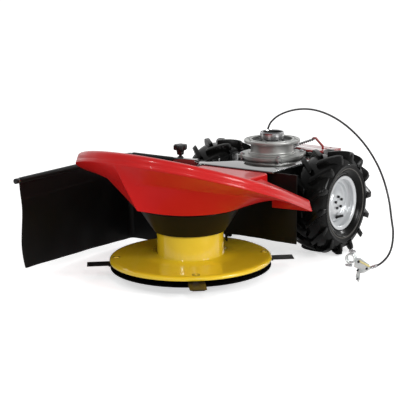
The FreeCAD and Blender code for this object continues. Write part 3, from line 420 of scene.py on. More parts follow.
def drawn(places):
    """Draws a line through some places and stays in edit mode with the line selected."""
    start()
    bpy.ops.mesh.primitive_plane_add(size=0.01, location=(0, 0, 0))
    bpy.ops.object.mode_set(mode="EDIT")
    bpy.ops.mesh.merge(type="CENTER")
    bpy.ops.transform.translate(value=places[0])
    for before, after in zip(places, places[1:]):
        bpy.ops.mesh.extrude_region_move(TRANSFORM_OT_translate={"value": after - before})
    bpy.ops.mesh.select_all(action="SELECT")


def lathe(outline, centre=(0.0, 0.0, 0.0), axis=(0.0, 0.0, 1.0), steps=96):
    """Spins an outline of (radius, height) in millimetres about an axis through centre."""
    middle = Vector(centre)
    along = Vector(axis)
    out = Vector((1, 0, 0)) if abs(along.z) > 0.999 else along.orthogonal().normalized()
    drawn([middle + out * (r / 1000) + along * (h / 1000) for r, h in outline])
    bpy.ops.mesh.spin(steps=steps, angle=2 * math.pi, center=middle, axis=along)
    return edited(bpy.context.object, merge, outward)


def on_circle(radius, degrees, centre=(0.0, 0.0, 0.0)):
    """A place on a circle round an upright axis, its radius in millimetres."""
    a = math.radians(degrees)
    return Vector(centre) + Vector((math.cos(a), math.sin(a), 0)) * (radius / 1000)


print("lathe ready")

# %% [markdown]
# ## Sheets and copies of solids
# A pressed or hung sheet starts as a flat grid. `formed` lays each of the grid's points where a rule
# says, from its column and its row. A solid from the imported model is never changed: `twin` takes a copy,
# joins its loose triangles and makes each flat side one face, so that its edges can be rounded.

# %% Sheets and copies
FLAT = math.radians(0.6)


def formed(columns, rows, rule):
    """A grid whose points are placed by rule(column, row), both counted from 0."""
    start()
    bpy.ops.mesh.primitive_grid_add(x_subdivisions=columns, y_subdivisions=rows, size=2.0,
                                    location=(0, 0, 0))
    sheet = bpy.context.object
    for point in sheet.data.vertices:
        point.co = rule(round((point.co.x + 1) / 2 * columns), round((point.co.y + 1) / 2 * rows))
    return sheet


def thicken(sheet, thickness, offset=-1.0):
    """Gives a sheet its thickness, behind its front when the offset is -1."""
    return worked(sheet, "SOLIDIFY", thickness=thickness, offset=offset, use_even_offset=True)


def cut_away(sheet, unwanted):
    """Deletes the faces whose middle, in millimetres, a test calls unwanted."""
    def cut():
        bpy.ops.mesh.select_all(action="DESELECT")
        shape = bmesh.from_edit_mesh(sheet.data)
        for face in shape.faces:
            face.select_set(unwanted(face.calc_center_median() * 1000))
        bmesh.update_edit_mesh(sheet.data)
        bpy.ops.mesh.delete(type="FACE")
    return edited(sheet, cut)


def twin(node):
    """A merged copy of a solid's mesh, with each flat side as one face."""
    return edited(placed(node + "_twin", nodes[node].data.copy()), merge,
                  lambda: bpy.ops.mesh.dissolve_limited(angle_limit=FLAT))


body_of = {node: body for body, names in frame["record"]["behaviour"]["bodies"].items()
           for node in names}


def soft_copies(slot, widths, look=None):
    """Softened copies of some solids of one slot, from the width of each one's round."""
    made = []
    for node, width in widths.items():
        piece = soften(twin(node), width, 2, 35)
        made.append(settle(piece, node + "_soft", body_of[node], slot, [node], 35, look))
    return made


print("sheet tools ready, nodes on a body:", len(body_of))

# %% [markdown]
# ## Clutch lever
# The far end of the cable carries the clutch lever with the clamp that holds it to a handlebar. It is die
# cast and zinc plated, so each part has small soft edges. The cable's wire ends in a turned sleeve with an
# adjusting nut, two wing screws hold the clamp, and small dark screws hold the stampings together.

# %% Lever pieces
LEVER_ORIGIN = Vector((0.4565, 0.191, 0.0))
LEVER_ALONG = Vector((0.9781, 0.2079, 0.0))
LEVER_ACROSS = Vector((-0.2079, 0.9781, 0.0))


def on_lever(along, out, up):
    """A point of the lever, in millimetres along it, across it and up."""
    return LEVER_ORIGIN + LEVER_ALONG * (along / 1000) + LEVER_ACROSS * (out / 1000) + Vector(
        (0, 0, up / 1000))


lever_pieces = soft_copies("zinc_grey", {"lever_body": 0.0009, "lever_blade": 0.0009})
lever_pieces += soft_copies("latch_yellow", {"lever_latch": 0.0007})
lever_pieces += soft_copies("bright_steel", {"wing_screws": 0.0007})
ring = lathe([(11, -9.4), (11.6, -10), (14, -10), (15, -9), (15, -4), (14.3, -3.2), (14.3, 3.2),
              (15, 4), (15, 9), (14, 10), (11.6, 10), (11, 9.4), (11, -9.4)],
             on_lever(-22, 0, 72), LEVER_ACROSS, 48)
lever_pieces.append(settle(ring, "handlebar_ring", "chassis", "zinc_grey", ["handlebar_clamp"], 35))
print("lever pieces:", len(lever_pieces))

# %% Sleeve, screws and eye
CABLE_ENTRY = Vector((0.5230, 0.2051, 0.0639))
SLEEVE_FOOT = Vector((0.5096, 0.2023, 0.0576))
lever_screws = ((3, 66, 3.4), (27, 47, 3.0), (0, 40, 2.8), (-1, 14, 2.4))

sleeve = lathe([(0, -3), (3.4, -3), (4, -2), (4, 2), (5, 2.6), (5, 7), (4.2, 7.6), (4.2, 10),
                (4.9, 10.6), (4.9, 15), (4.2, 15.6), (3.4, 16), (3.4, 20), (2.6, 21), (0, 21)],
               SLEEVE_FOOT, (SLEEVE_FOOT - CABLE_ENTRY).normalized(), 28)
lever_pieces.append(settle(sleeve, "cable_sleeve_end", "chassis", "bright_steel", ["cable_ferrule"], 30))
screws = [lathe([(0, -3.4), (radius - 0.6, -3.4), (radius, -2.8), (radius, 5.6), (radius - 0.7, 6.4),
                 (radius * 0.4, 6.6), (0, 6.2)], on_lever(along, -3.2, up), LEVER_ACROSS * -1, 20)
          for along, up, radius in lever_screws]
lever_pieces.append(settle(joined(screws), "lever_screws", "chassis", "bright_steel", angle=35,
                           look=dark_bolt))
eye = lathe([(3.2, -1.4), (6.2, -1.4), (6.8, -0.8), (6.8, 0.8), (6.2, 1.4), (3.2, 1.4), (2.8, 0.9),
             (2.8, -0.9), (3.2, -1.4)], on_lever(-19, 0, 93), LEVER_ACROSS, 28)
lever_pieces.append(settle(eye, "clamp_eye", "chassis", "bright_steel", angle=35))
print("lever pieces:", len(lever_pieces))

# %% [markdown]
# ## Clutch cable
# A Bowden cable is a steel wire in a plastic sleeve: it is springy, so it stands up from its foot beside
# the adapter in one high arc and comes down to the clutch lever. A smooth NURBS line through a few chosen
# points bends the way such a sleeve does.

# %% Cable
CABLE_FOOT = Vector((-0.068943, 0.509943, 0.0))
CABLE_HEADING = Vector((0.89658, -0.44287, 0.0))
CABLE_D = 0.006
cable_runs = [(0, 326), (10.5, 372), (60.5, 408), (129.5, 434), (206.5, 452), (286.5, 460),
              (366.5, 456), (444.5, 441), (518.5, 415), (586.5, 377), (644.5, 324), (682.5, 255),
              (694.5, 199), (706.5, 160), (695.5, 103)]
cable_points = [CABLE_FOOT + CABLE_HEADING * (s / 1000) + Vector((0, 0, z / 1000))
                for s, z in cable_runs]
cable_points += [CABLE_ENTRY, SLEEVE_FOOT]
cable_line = bpy.data.curves.new("cable", "CURVE")
cable_line.dimensions = "3D"
route = cable_line.splines.new("NURBS")
route.points.add(len(cable_points) - 1)
for point, place in zip(route.points, cable_points):
    point.co = (*place, 1.0)
route.order_u = 3
route.use_endpoint_u = True
route.resolution_u = 16
cable_line.bevel_depth = CABLE_D / 2
cable_line.bevel_resolution = 4
cable_line.use_fill_caps = True
cable_line.materials.append(cable_sleeve)
cable = placed("cable", cable_line)
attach(cable, "chassis")
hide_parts("clutch_cable")
tuple(cable_points[0])
print("cable points:", len(cable_points))

# %% [markdown]
# ## Hood
# The hood is one pressed steel funnel. Its low edge is pulled forward into a prow, its sides flare out to
# a rim that rises towards the front, and a band with a rolled top edge stands on that rim. A press leaves
# no sharp edge, so the section is drawn here with its bends already round, and each column of the grid
# takes the same section at its own place round the hood.

# %% Hood edges
HOOD_BACK_Y = 190.0
HOOD_ANGLES = (0, 4, 9, 16, 27, 42, 60, 76, 90)
PROW_FADE = 10.0


def hood_edge(side_r, back_x, level_at, prow=0.0, lift=0.0):
    """The points of one of the hood's edges, on one half, from the middle to the back wall."""
    points = []
    for degrees in HOOD_ANGLES:
        a = math.radians(degrees)
        fade = math.exp(-degrees / PROW_FADE)
        r = side_r + prow * fade
        y = -r * math.cos(a)
        points.append(Vector((r * math.sin(a), y, level_at(y) + lift * fade)))
    for share in (0.5, 1.0):
        y = HOOD_BACK_Y * share
        points.append(Vector((side_r - (side_r - back_x) * share ** 1.5, y, level_at(y))))
    return points


low_edge = hood_edge(163.0, 163.0, lambda y: 216.5, 77.0, 24.0)
flare_edge = hood_edge(238.0, 232.0, lambda y: 262.0 - 0.24 * y, 54.0, -12.0)
rim_edge = hood_edge(329.0, 302.0, lambda y: 263.4 - 0.376 * y)
band_edge = hood_edge(318.0, 291.0, lambda y: 295.4 - 0.376 * y)
crown_edge = hood_edge(122.0, 122.0, lambda y: 270.0)
print("points on each edge of the hood:", len(rim_edge))


def smooth_line(points, share):
    """A point on the smooth line through some points, found by the Catmull-Rom rule."""
    last = len(points) - 1
    at = share * last
    i = min(int(at), last - 1)
    t = at - i
    b, c = points[i], points[i + 1]
    a = points[i - 1] if i > 0 else b * 2 - c
    d = points[i + 2] if i + 2 <= last else c * 2 - b
    return ((b * 2) + (c - a) * t + (a * 2 - b * 5 + c * 4 - d) * t * t
            + (b * 3 - a - c * 3 + d) * t * t * t) / 2


# %% [markdown]
# The section runs from the low edge to the crown. Each row below names the two edges that it lies
# between, then steps of how far to go from one to the other and how far to stand in, in millimetres. The
# band has a rolled lip at its top, a shallow groove below it, and a narrow step where it meets the flare.

# %% Hood sheet
HOOD_COLUMNS = 120
HOOD_THICKNESS = 0.0028
hood_section = []
for one, two, steps in (
        (low_edge, flare_edge, ((0, 0), (0.03, 0), (0.35, 0), (0.65, 0), (0.88, 0), (0.96, 0.3))),
        (flare_edge, rim_edge, ((0.03, 0.3), (0.12, 0), (0.4, 0), (0.7, 0), (0.91, 0), (0.965, 0.2))),
        (rim_edge, band_edge, ((0.02, 0.9), (0.1, 0.3), (0.27, 0.1), (0.33, 1.1), (0.38, 1.1),
                               (0.44, 0.1), (0.7, 0), (0.82, 0.2), (0.91, 1.6), (0.97, 4.2),
                               (1, 8), (0.99, 12))),
        (band_edge, crown_edge, ((0.12, 0), (0.4, 0), (0.7, 0), (1, 0)))):
    hood_section += [(one, two, share, inset) for share, inset in steps]


def hood_rule(column, row):
    """A point of the hood's outer face, from the left back round to the right back."""
    one, two, share, inset = hood_section[row]
    place = abs(column / HOOD_COLUMNS * 2 - 1.0)
    spot = smooth_line(one, place).lerp(smooth_line(two, place), share)
    inward = Vector((-spot.x, -min(spot.y, 0.0), 0.0))
    if inward.length > 0.001:
        spot += inward.normalized() * inset
    if column * 2 >= HOOD_COLUMNS:
        spot.x = -spot.x
    return spot / 1000


hood = edited(formed(HOOD_COLUMNS, len(hood_section) - 1, hood_rule), outward)
print("hood faces:", len(hood.data.polygons), "columns:", HOOD_COLUMNS)

# %% [markdown]
# A surface has a front and a back. The grid may come out with its front inside, so one face of the band
# is looked at, and all are turned round if it faces the wrong way. Then the sheet gets its thickness.

# %% Hood finish
band_face = max(hood.data.polygons, key=lambda f: f.center.z - abs(f.center.x) * 5 - f.center.y
                - abs(f.normal.z) * 0.2)
print("band face looks", [round(v, 2) for v in band_face.normal])
if band_face.normal.y > 0:
    edited(hood, bpy.ops.mesh.flip_normals)
thicken(hood, HOOD_THICKNESS)
settle(hood, "hood_skin", "chassis", "hood_red", ["hood_shell"], 40)

# %% [markdown]
# ## Deck and back wall
# A raised red deck lies on the hood between the drum and the frame plate. It is a pressed tray, so its
# corners are round, its top edge is rolled over, and its sides come down to the hood. The wall at the
# back is flat sheet with a small round on its edges.

# %% Deck outline
DECK_HALF = 126.0
DECK_FRONT_Y = -70.0
DECK_BACK_Y = 232.0
DECK_TOP_Z = 281.0
DECK_SIDE_Z = 267.0
DECK_EAR_Z = 238.0
EAR_FROM_X, EAR_FROM_Y = 99, 40
DECK_THICKNESS = 0.0025
FRONT_R, BACK_R = 40.0, 14.0
CORNER_STEPS = 8


def deck_outline(shrink):
    """The deck's outline, its corners rounded, drawn in by some millimetres."""
    front, back = DECK_FRONT_Y + FRONT_R, DECK_BACK_Y - BACK_R
    points = []
    for x, y, r, first in ((DECK_HALF - BACK_R, back, BACK_R, 0), (BACK_R - DECK_HALF, back, BACK_R, 90),
                           (FRONT_R - DECK_HALF, front, FRONT_R, 180),
                           (DECK_HALF - FRONT_R, front, FRONT_R, 270)):
        for i in range(CORNER_STEPS + 1):
            a = math.radians(first + 90 * i / CORNER_STEPS)
            points.append((x + (r - shrink) * math.cos(a), y + (r - shrink) * math.sin(a)))
    return points


deck_section = [(12, DECK_TOP_Z), (6, DECK_TOP_Z), (3.6, 280.6), (1.6, 279.3), (0.4, 277.2), (0, 274.6),
                (0, 268)]
deck_rings = [deck_outline(row[0]) for row in deck_section]
deck_rings.append(deck_rings[-1])
deck_corners = len(deck_rings[0])
print("points round the deck:", deck_corners)

# %% Deck


def deck_rule(column, row):
    """A point of the tray: its rolled edge, then its sides, which reach lowest at the back."""
    x, y = deck_rings[row][column % deck_corners]
    if row < len(deck_section):
        return Vector((x, y, deck_section[row][1])) / 1000
    in_ear = y > EAR_FROM_Y and abs(x) > EAR_FROM_X
    return Vector((x, y, DECK_EAR_Z if in_ear else DECK_SIDE_Z)) / 1000


def fill_top():
    """A move: the open edge at the tray's top becomes one face."""
    bpy.ops.mesh.select_all(action="DESELECT")
    shape = bmesh.from_edit_mesh(deck.data)
    for edge in shape.edges:
        high = all(v.co.z > DECK_TOP_Z / 1000 - SAME_SPOT for v in edge.verts)
        edge.select_set(high and edge.is_boundary)
    bmesh.update_edit_mesh(deck.data)
    bpy.ops.mesh.edge_face_add()
    bpy.ops.mesh.select_all(action="SELECT")


deck = formed(deck_corners, len(deck_rings) - 1, deck_rule)
thicken(edited(deck, merge, fill_top, outward), DECK_THICKNESS)
settle(deck, "deck_tray", "chassis", "hood_red", ["hood_deck"], 40)
back_wall = soften(twin("hood_back_wall"), 0.0012, 2, 40)
settle(back_wall, "back_wall_sheet", "chassis", "hood_red", ["hood_back_wall"])
print("deck top:", round(max(p.co.z for p in deck.data.vertices), 4))

# %% [markdown]
# ## Drum and disc
# The drum and the knife disc turn as one yellow shell. Where the drum meets the disc there is a small
# fold, and the disc's outer ring bends down and ends in a rolled lip. All of it is one turned outline.

# %% Drum
drum = lathe([
    (38, 144), (38, 145), (95.5, 145), (97.6, 144.4), (98.5, 142.6), (98.5, 70.4), (98.9, 68.4),
    (100.2, 67.2), (102.6, 66.7), (103.4, 66.1), (150, 63.8), (203, 61.7), (209, 61.5), (226, 61.3),
    (232, 60.6), (236, 59.2), (238.8, 56.9), (239.9, 54), (240, 50.2), (239.2, 49), (237, 49),
    (236.2, 50), (236, 55.5), (232, 57.4), (206, 57.5), (150, 60), (98.5, 62.4), (94.6, 66.4),
    (94.5, 141), (38, 141), (38, 144)], steps=160)
settle(drum, "drum_and_disc", "drum", "drum_yellow", ["drum_shell"], 45)
print("drum faces:", len(drum.data.polygons))

# %% [markdown]
# Each knife hangs on a pin. The pin's cap is let into the disc and painted with it. A dark ring round
# it and two dark bars on its top, where a pin wrench's slots are, are painted shade. Each pin is turned
# at its own place.

# %% Knife pins
PIN_CIRCLE = 219.0
PIN_ANGLES = [-49 + 90 * i for i in range(4)]
SLOT_SIZE = (0.0066, 0.0042, 0.0004)
SLOT_OUT, SLOT_TOP = 0.0060, 0.06355
SLOT_TURN = math.radians(-37)
cap_outline = [(0, 61.4), (9.5, 61.4), (9.5, 62), (8.7, 63), (6.2, 63.4), (5.2, 63.1), (4, 63.5),
               (0, 63.5)]
shank_outline = [(0, 36.25), (9, 36.25), (9.5, 36.8), (9.5, 39.2), (9, 39.75), (6, 39.75), (6, 44.25),
                 (7.5, 44.25), (7.5, 57), (6, 57), (6, 61.4), (0, 61.4)]
gap_outline = [(9.6, 60.6), (9.6, 61.9), (10.2, 62.1), (11, 61.9), (11.2, 60.6), (9.6, 60.6)]


def wrench_slot(spot, way):
    """A thin dark bar of painted shade for one slot, made at the drum's axis and then moved to its pin."""
    start()
    bpy.ops.mesh.primitive_cube_add(size=1.0, location=(0, 0, 0))
    bpy.ops.object.mode_set(mode="EDIT")
    bpy.ops.transform.resize(value=SLOT_SIZE)
    bpy.ops.transform.translate(value=(way * SLOT_OUT, 0, SLOT_TOP))
    bpy.ops.transform.rotate(value=SLOT_TURN, orient_axis="Z", center_override=(0.0, 0.0, 0.0))
    bpy.ops.transform.translate(value=spot)
    bpy.ops.object.mode_set(mode="OBJECT")
    return bpy.context.object


caps, shanks, slots = [], [], []
for degrees in PIN_ANGLES:
    spot = on_circle(PIN_CIRCLE, degrees)
    caps.append(lathe(cap_outline, spot, steps=32))
    shanks.append(lathe(shank_outline, spot, steps=32))
    slots.append(lathe(gap_outline, spot, steps=32))
    slots += [wrench_slot(spot, way) for way in (-1, 1)]
settle(joined(caps), "pin_caps", "drum", "drum_yellow", angle=45)
settle(joined(shanks), "pin_shanks", "drum", "bright_steel", ["knife_pins"], 45)
# painted shade: the dark ring round each cap and the dark bars for the wrench slots
settle(soften(joined(slots), 0.0001, 1), "pin_slot_shade", "drum", "dark_steel", look=rubber_and_shade_black)
print("pins:", len(caps))

# %% [markdown]
# ## Collar, saucer and knives
# A black cone stands still round the top of the drum. Under the disc a dished saucer slides on the
# ground. The knives are plain flat bars with ground edges, and their corners are barely eased. A strip
# beside the drum scrapes off what sticks to it.

# %% Collar and saucer
collar = lathe([
    (45, 212), (45, 208), (147, 208), (103.5, 141), (103.8, 140.1), (105.8, 140.1), (106.6, 141.1),
    (151.6, 210.6), (151.2, 211.8), (149.8, 212), (45, 212)], steps=128)
settle(collar, "collar_cone", "chassis", "frame_black", ["drum_collar"], 40, collar_black)
saucer = lathe([
    (0, 0), (96, 0), (104, 0.5), (130, 4.9), (160, 11), (184, 16.4), (205, 21.6), (224, 26.4),
    (234, 29.3), (237.2, 30.6), (238, 32), (237.8, 33.4), (236.6, 34), (235, 33.6), (232, 31.6),
    (204, 24.5), (159, 14), (99, 3), (30, 3), (30, 25.4), (29.4, 26), (15.05, 26), (15.05, 6),
    (0, 6)], steps=160)
settle(saucer, "saucer_dish", "saucer", "frame_black", ["saucer"], 40, saucer_black)
print("saucer faces:", len(saucer.data.polygons))

# %% Knives and scraper
for name in wears["knives"][1]:
    steel = worn_steel if name == "knife_1" else knife_steel
    settle(soften(twin(name), 0.0003, 1, 20), f"{name}_blade", name, "dark_steel", [name], look=steel)
scraper = soften(twin("drum_scraper"), 0.0012, 2)
settle(scraper, "scraper_strip", "chassis", "frame_black", ["drum_scraper"], look=saucer_black)
print("knives:", len(wears["knives"][1]))

# %% [markdown]
# ## Tyres
# Each tyre is a round carcass with long slanting lugs, like a small tractor's. The carcass is a turned
# outline, the same on both sides. One lug is a grid of cuts along its path: it starts near the middle of
# the tread, leans back as it goes out, and runs over the shoulder and down the side wall. The same path
# is then used all round the tyre.

# %% Carcass
WHEEL_X = 0.21
AXLE = Vector((0, 0.45, 0.1625))
SIDEWAYS = (1.0, 0.0, 0.0)
WHEEL_STEPS = 112
SIDES = (("left", 1), ("right", -1))
carcass_half = [
    (76.2, -43.6), (88, -44), (91, -47), (95, -51.5), (99, -54.4), (103, -56), (104, -57.2),
    (106, -57.4), (107, -56.8), (112, -57.9), (118, -58.3), (119, -59.2), (121, -59.2),
    (122, -58.2), (128, -57.2), (134, -55.2), (140, -51), (144.6, -43), (146.6, -30), (147, -12)]
carcass_outline = carcass_half + [(r, -h) for r, h in reversed(carcass_half)] + carcass_half[:1]
print("carcass outline points:", len(carcass_outline))

# %% One lug
LUGS = 14
LUG_FOOT_REACH = 55.0
TREAD_R = 155.0
# outward, foot radius, top radius, sweep in degrees, half width of the foot and of the top
lug_path = [(2.5, 141, 160.5, 5.0, 12, 7.2), (5, 141, 162.3, 4.6, 12.6, 8.3),
            (16, 141, 162.5, 1.4, 12.8, 8.5), (30, 141, 162.5, -3.5, 12.8, 8.6),
            (43, 137, 162.1, -8.0, 12.8, 8.6), (54, 130, 160.9, -11.2, 12.6, 8.4),
            (60, 126, 157.6, -12.4, 11.8, 7.6), (61.8, 121, 147, -12.9, 11.2, 7.0),
            (61.2, 117, 136, -13.3, 10.6, 6.4), (59.8, 115, 127.5, -13.5, 10.0, 5.6)]


def close_ends():
    """A move: the open ends and the foot of a lug are filled."""
    bpy.ops.mesh.select_mode(type="EDGE")
    bpy.ops.mesh.region_to_loop()
    bpy.ops.mesh.edge_face_add()
    bpy.ops.mesh.select_mode(type="VERT")
    bpy.ops.mesh.select_all(action="SELECT")


def lug(centre_x, half, middle):
    """One lug: a strip of cuts, each with its foot, its two top corners and its other foot."""
    def rule(corner, cut):
        outward_mm, foot, top, sweep, foot_half, top_half = lug_path[cut]
        high = corner in (1, 2)
        spread = (top_half if high else foot_half) / TREAD_R
        reach = outward_mm if high else min(outward_mm, LUG_FOOT_REACH)
        radius = (top if high else foot) / 1000
        a = middle + math.radians(sweep) + (spread if corner > 1 else -spread)
        return Vector((centre_x + half * reach / 1000, AXLE.y + radius * math.sin(a),
                       AXLE.z - radius * math.cos(a)))
    return edited(formed(3, len(lug_path) - 1, rule), close_ends, outward)


print("cuts in a lug:", len(lug_path))

# %% Both tyres
for side_name, sign in SIDES:
    centre_x = sign * WHEEL_X
    carcass = lathe(carcass_outline, (centre_x, AXLE.y, AXLE.z), SIDEWAYS, WHEEL_STEPS)
    lugs = [lug(centre_x, half, 2 * math.pi / LUGS * (n + start_at))
            for half, start_at in ((1, 0.0), (-1, 0.5)) for n in range(LUGS)]
    whole = joined([carcass, soften(joined(lugs), 0.0016, 2, 32)])
    settle(whole, f"tyre_{side_name}_tread", f"wheel_{side_name}", "tyre", [f"tyre_{side_name}"], 40)
    print(whole.name, "faces:", len(whole.data.polygons))

# %% [markdown]
# ## Rims and hubs
# The rim is a painted steel pressing: a bright flange that holds the bead, a step, a deep dish, and a
# plate in the middle with its nuts. The dish faces outwards, so each side is turned the right way round
# by its own sign. A valve stands in the dish, and a raised ring round the tyre's side wall is light grey,
# a painted highlight where it catches the light.

# %% Rims
NUTS, FIRST_NUT = 5, 0.4
NUT_R, NUT_DEPTH = 0.0046, 0.007
NUT_CIRCLE = 0.0185
NUT_OUT = 0.0312
VALVE_OUT, VALVE_BACK, VALVE_DOWN = 0.0165, 0.009, 0.0505
VALVE_LEAN = (0.93, 0.16, 0.28)
rim_outline = [
    (14, 29), (31, 29), (35, 28), (40, 24), (46, 18.6), (52, 15.4), (57, 15), (60.6, 16.6), (62.5, 20),
    (62.5, 24), (63.4, 25.4), (68, 26.6), (73.4, 28.4), (74.8, 30.6), (74.8, 35.6), (73.6, 37.4),
    (72.4, 38.2), (72.2, 39.4), (72.6, 42), (73.8, 44.2), (76, 45.4), (79, 46.4), (82.6, 47),
    (84.6, 46.2), (85, 44.8), (84, 43.5), (79, 43.2), (76.4, 41), (76, 38), (76, 26), (66, 19),
    (66, -23), (76, -30), (76, -41), (79, -43.2), (84, -43.5), (85, -44.8), (84.6, -46.2),
    (82.6, -47), (76, -46), (72.5, -42), (72.5, -32), (62.5, -25), (62.5, 8), (55, 10), (43, 14),
    (34, 22), (14, 22), (14, 29)]
hub_outline = [(0, 32), (8, 32), (9.4, 31.4), (10, 29.6), (12, 29.4), (26, 29.3), (26, 28.9), (13.9, 28.9),
               (13.9, -8.2), (44, -8.2), (44, -16), (24, -16), (24, -64), (0, -64), (0, 32)]
line_outline = [(106.6, 56.2), (107, 57.8), (109.6, 58), (110.2, 56.2), (106.6, 56.2)]
valve_outline = [(0, 0), (5.4, 0), (5.8, 1), (5.2, 4), (4.3, 7), (4.2, 19), (3.6, 20), (3.6, 24.6),
                 (3, 25.4), (0, 25.4)]


def hexagon(radius, depth, place, turn=(0, 0, 0)):
    """A six-sided blank for a nut, with its place and turn in its mesh."""
    start()
    bpy.ops.mesh.primitive_cylinder_add(vertices=6, radius=radius, depth=depth, location=place,
                                        rotation=turn)
    bpy.ops.object.transform_apply(location=True, rotation=True, scale=True)
    return bpy.context.object


def wheel_turned(outline, sign, steps=WHEEL_STEPS):
    """An outline turned about a wheel's axle, its heights counted outwards from its middle."""
    return lathe([(r, h * sign) for r, h in outline], (sign * WHEEL_X, AXLE.y, AXLE.z), SIDEWAYS, steps)


for side_name, sign in SIDES:
    body = f"wheel_{side_name}"
    rim = wheel_turned(rim_outline, sign)
    settle(rim, f"rim_{side_name}_dish", body, "rim_silver", [f"rim_{side_name}"], 35)
    settle(wheel_turned(hub_outline, sign, 64), f"hub_{side_name}_boss", body, "dark_steel",
           [f"wheel_hub_{side_name}"], 35, rim_silver)
    nuts = []
    for n in range(NUTS):
        a = 2 * math.pi / NUTS * n + FIRST_NUT
        spot = (sign * (WHEEL_X + NUT_OUT), AXLE.y + NUT_CIRCLE * math.cos(a),
                AXLE.z + NUT_CIRCLE * math.sin(a))
        nuts.append(hexagon(NUT_R, NUT_DEPTH, spot, (0, math.pi / 2, 0)))
    settle(soften(joined(nuts), 0.0009, 2), f"wheel_nuts_{side_name}", body, "dark_steel",
           look=dark_bolt)
    foot = (sign * (WHEEL_X + VALVE_OUT), AXLE.y + VALVE_BACK, AXLE.z - VALVE_DOWN)
    valve = lathe(valve_outline, foot, (sign * VALVE_LEAN[0], *VALVE_LEAN[1:]), 24)
    settle(valve, f"valve_{side_name}", body, "tyre", angle=35, look=rubber_and_shade_black)
    # painted highlight: the raised ring on the side wall in light grey
    settle(wheel_turned(line_outline, sign), f"tyre_{side_name}_line", body, "tyre", angle=35,
           look=tyre_ring_highlight)
    print(rim.name, len(rim.data.polygons), "nuts:", len(nuts))

# %% [markdown]
# ## Engine adapter
# The engine stands on a cast spool: a wide lower flange with four ears, a waist, and an upper flange with
# a machined ring inside. Castings have soft corners and turned faces have crisp ones, so the outline
# has fillets at the waist and small chamfers on the rings.

# %% Adapter body
EAR_CIRCLE = 97.5
EAR_ANGLES = (45, 135, 225, 315)
BARE_EAR = 135
spool = lathe([
    (22.1, 290), (30, 285.2), (94, 285.2), (95, 286), (95, 290), (101.2, 290), (102.4, 291),
    (102.6, 297.8), (102, 298.8), (101, 299), (78, 299.1), (77.4, 299.4), (77, 303),
    (76.2, 304), (72.6, 304), (70, 304.8), (69, 306.4), (68.6, 309), (68.5, 329.6), (69.2, 331.8),
    (71.4, 333.4), (75, 334.2), (86.8, 335), (88.6, 335.8), (89.5, 337.6), (89.5, 342.6),
    (88.8, 344.3), (87.2, 345), (76.4, 345), (75.6, 344.2), (75.2, 341.8), (72.6, 341.8),
    (72.2, 344.4), (71.4, 345.9), (69.4, 346.4), (66.2, 346.2), (65.2, 345.2), (65, 338),
    (22.1, 338), (22.1, 290)], ADAPTER_AXIS, steps=128)
ear_outline = [(4.1, 290), (12, 290), (13, 291), (13, 298), (12, 299), (9.4, 299.2), (9, 299),
               (4.1, 299), (4.1, 290)]
ears = [lathe(ear_outline, on_circle(EAR_CIRCLE, degrees, ADAPTER_AXIS), steps=32)
        for degrees in EAR_ANGLES]
settle(joined([spool] + ears), "adapter_spool", "chassis", "cast_aluminium", ["engine_adapter"], 30)
print("adapter ears:", len(ears))

# %% [markdown]
# The ears stand on spacers and are held by studs, three of them with nuts. The upper flange takes the
# engine's own studs in a ring of holes, each shown as a dark disc of painted shade.

# %% Studs and holes
HOLE_CIRCLE = 81.2
STUD_TOP, BARE_STUD_TOP = 307.0, 299.0
EAR_NUT_R, EAR_NUT_DEPTH, EAR_NUT_Z = 0.0079, 0.005, 0.3016
fixings = []
for degrees in EAR_ANGLES:
    spot = on_circle(EAR_CIRCLE, degrees, ADAPTER_AXIS)
    top = BARE_STUD_TOP if degrees == BARE_EAR else STUD_TOP
    fixings.append(lathe([(0, 285), (6.4, 285), (7, 285.6), (7, 290), (4, 290), (4, top - 0.6),
                          (3.4, top), (0, top)], spot, steps=24))
    if degrees != BARE_EAR:
        nut = hexagon(EAR_NUT_R, EAR_NUT_DEPTH, (spot.x, spot.y, EAR_NUT_Z))
        fixings.append(soften(nut, 0.0008, 2))
settle(joined(fixings), "ear_studs", "chassis", "bright_steel", ["adapter_studs"], 35)
# painted shade: each hole is a thin dark disc at the flange's top
hole_outline = [(0, 345.25), (3.6, 345.25), (4, 345.0), (4, 344.2), (0, 344.2)]
holes = [lathe(hole_outline, on_circle(HOLE_CIRCLE, degrees, ADAPTER_AXIS), steps=20)
         for degrees in range(20, 360, 45)]
settle(joined(holes), "flange_hole_shade", "chassis", "dark_steel", angle=35, look=rubber_and_shade_black)
print("studs and nuts:", len(fixings), "holes:", len(holes))

# %% [markdown]
# In the middle the drive's input turns: a polished cup with a chamfered mouth. Its outside is a plain
# cylinder, and the room that it mirrors is painted into its wall's colour as upright stripes, a painted
# reflection. Its inside is a dark piece, painted shade where little light gets. A dark ring round its
# foot is painted shade in the flange's recess.

# %% Input cup
cup = lathe([
    (34.8, 362), (35, 367.6), (35.6, 368.8), (36.2, 369), (36.8, 369), (37.4, 368.6), (39, 365.4),
    (39, 364.2), (38.6, 363.4), (37.4, 363), (37, 345.6), (33, 344), (22, 344), (22, 292),
    (12.5, 292), (12.5, 351), (34.8, 351), (34.8, 362)], ADAPTER_AXIS, steps=128)
settle(cup, "input_cup", "input", "chrome", ["input_hub"], 25)
wall = lathe([(37.4, 363), (38.6, 363), (38.4, 349), (37.4, 345.8), (37, 345.8), (37, 363), (37.4, 363)],
             ADAPTER_AXIS, steps=128)
settle(wall, "input_cup_wall", "input", "chrome", angle=25, look=streak_reflection_steel)
# painted shade: the bore is a dark piece inside the cup
bore = lathe([(12.6, 351), (28, 351), (33.4, 352.6), (34.4, 356), (34.8, 366), (34.9, 366), (34.9, 350.8),
              (12.6, 350.8), (12.6, 351)], ADAPTER_AXIS, steps=96)
settle(bore, "input_cup_bore_shade", "input", "dark_steel", angle=25, look=rubber_and_shade_black)
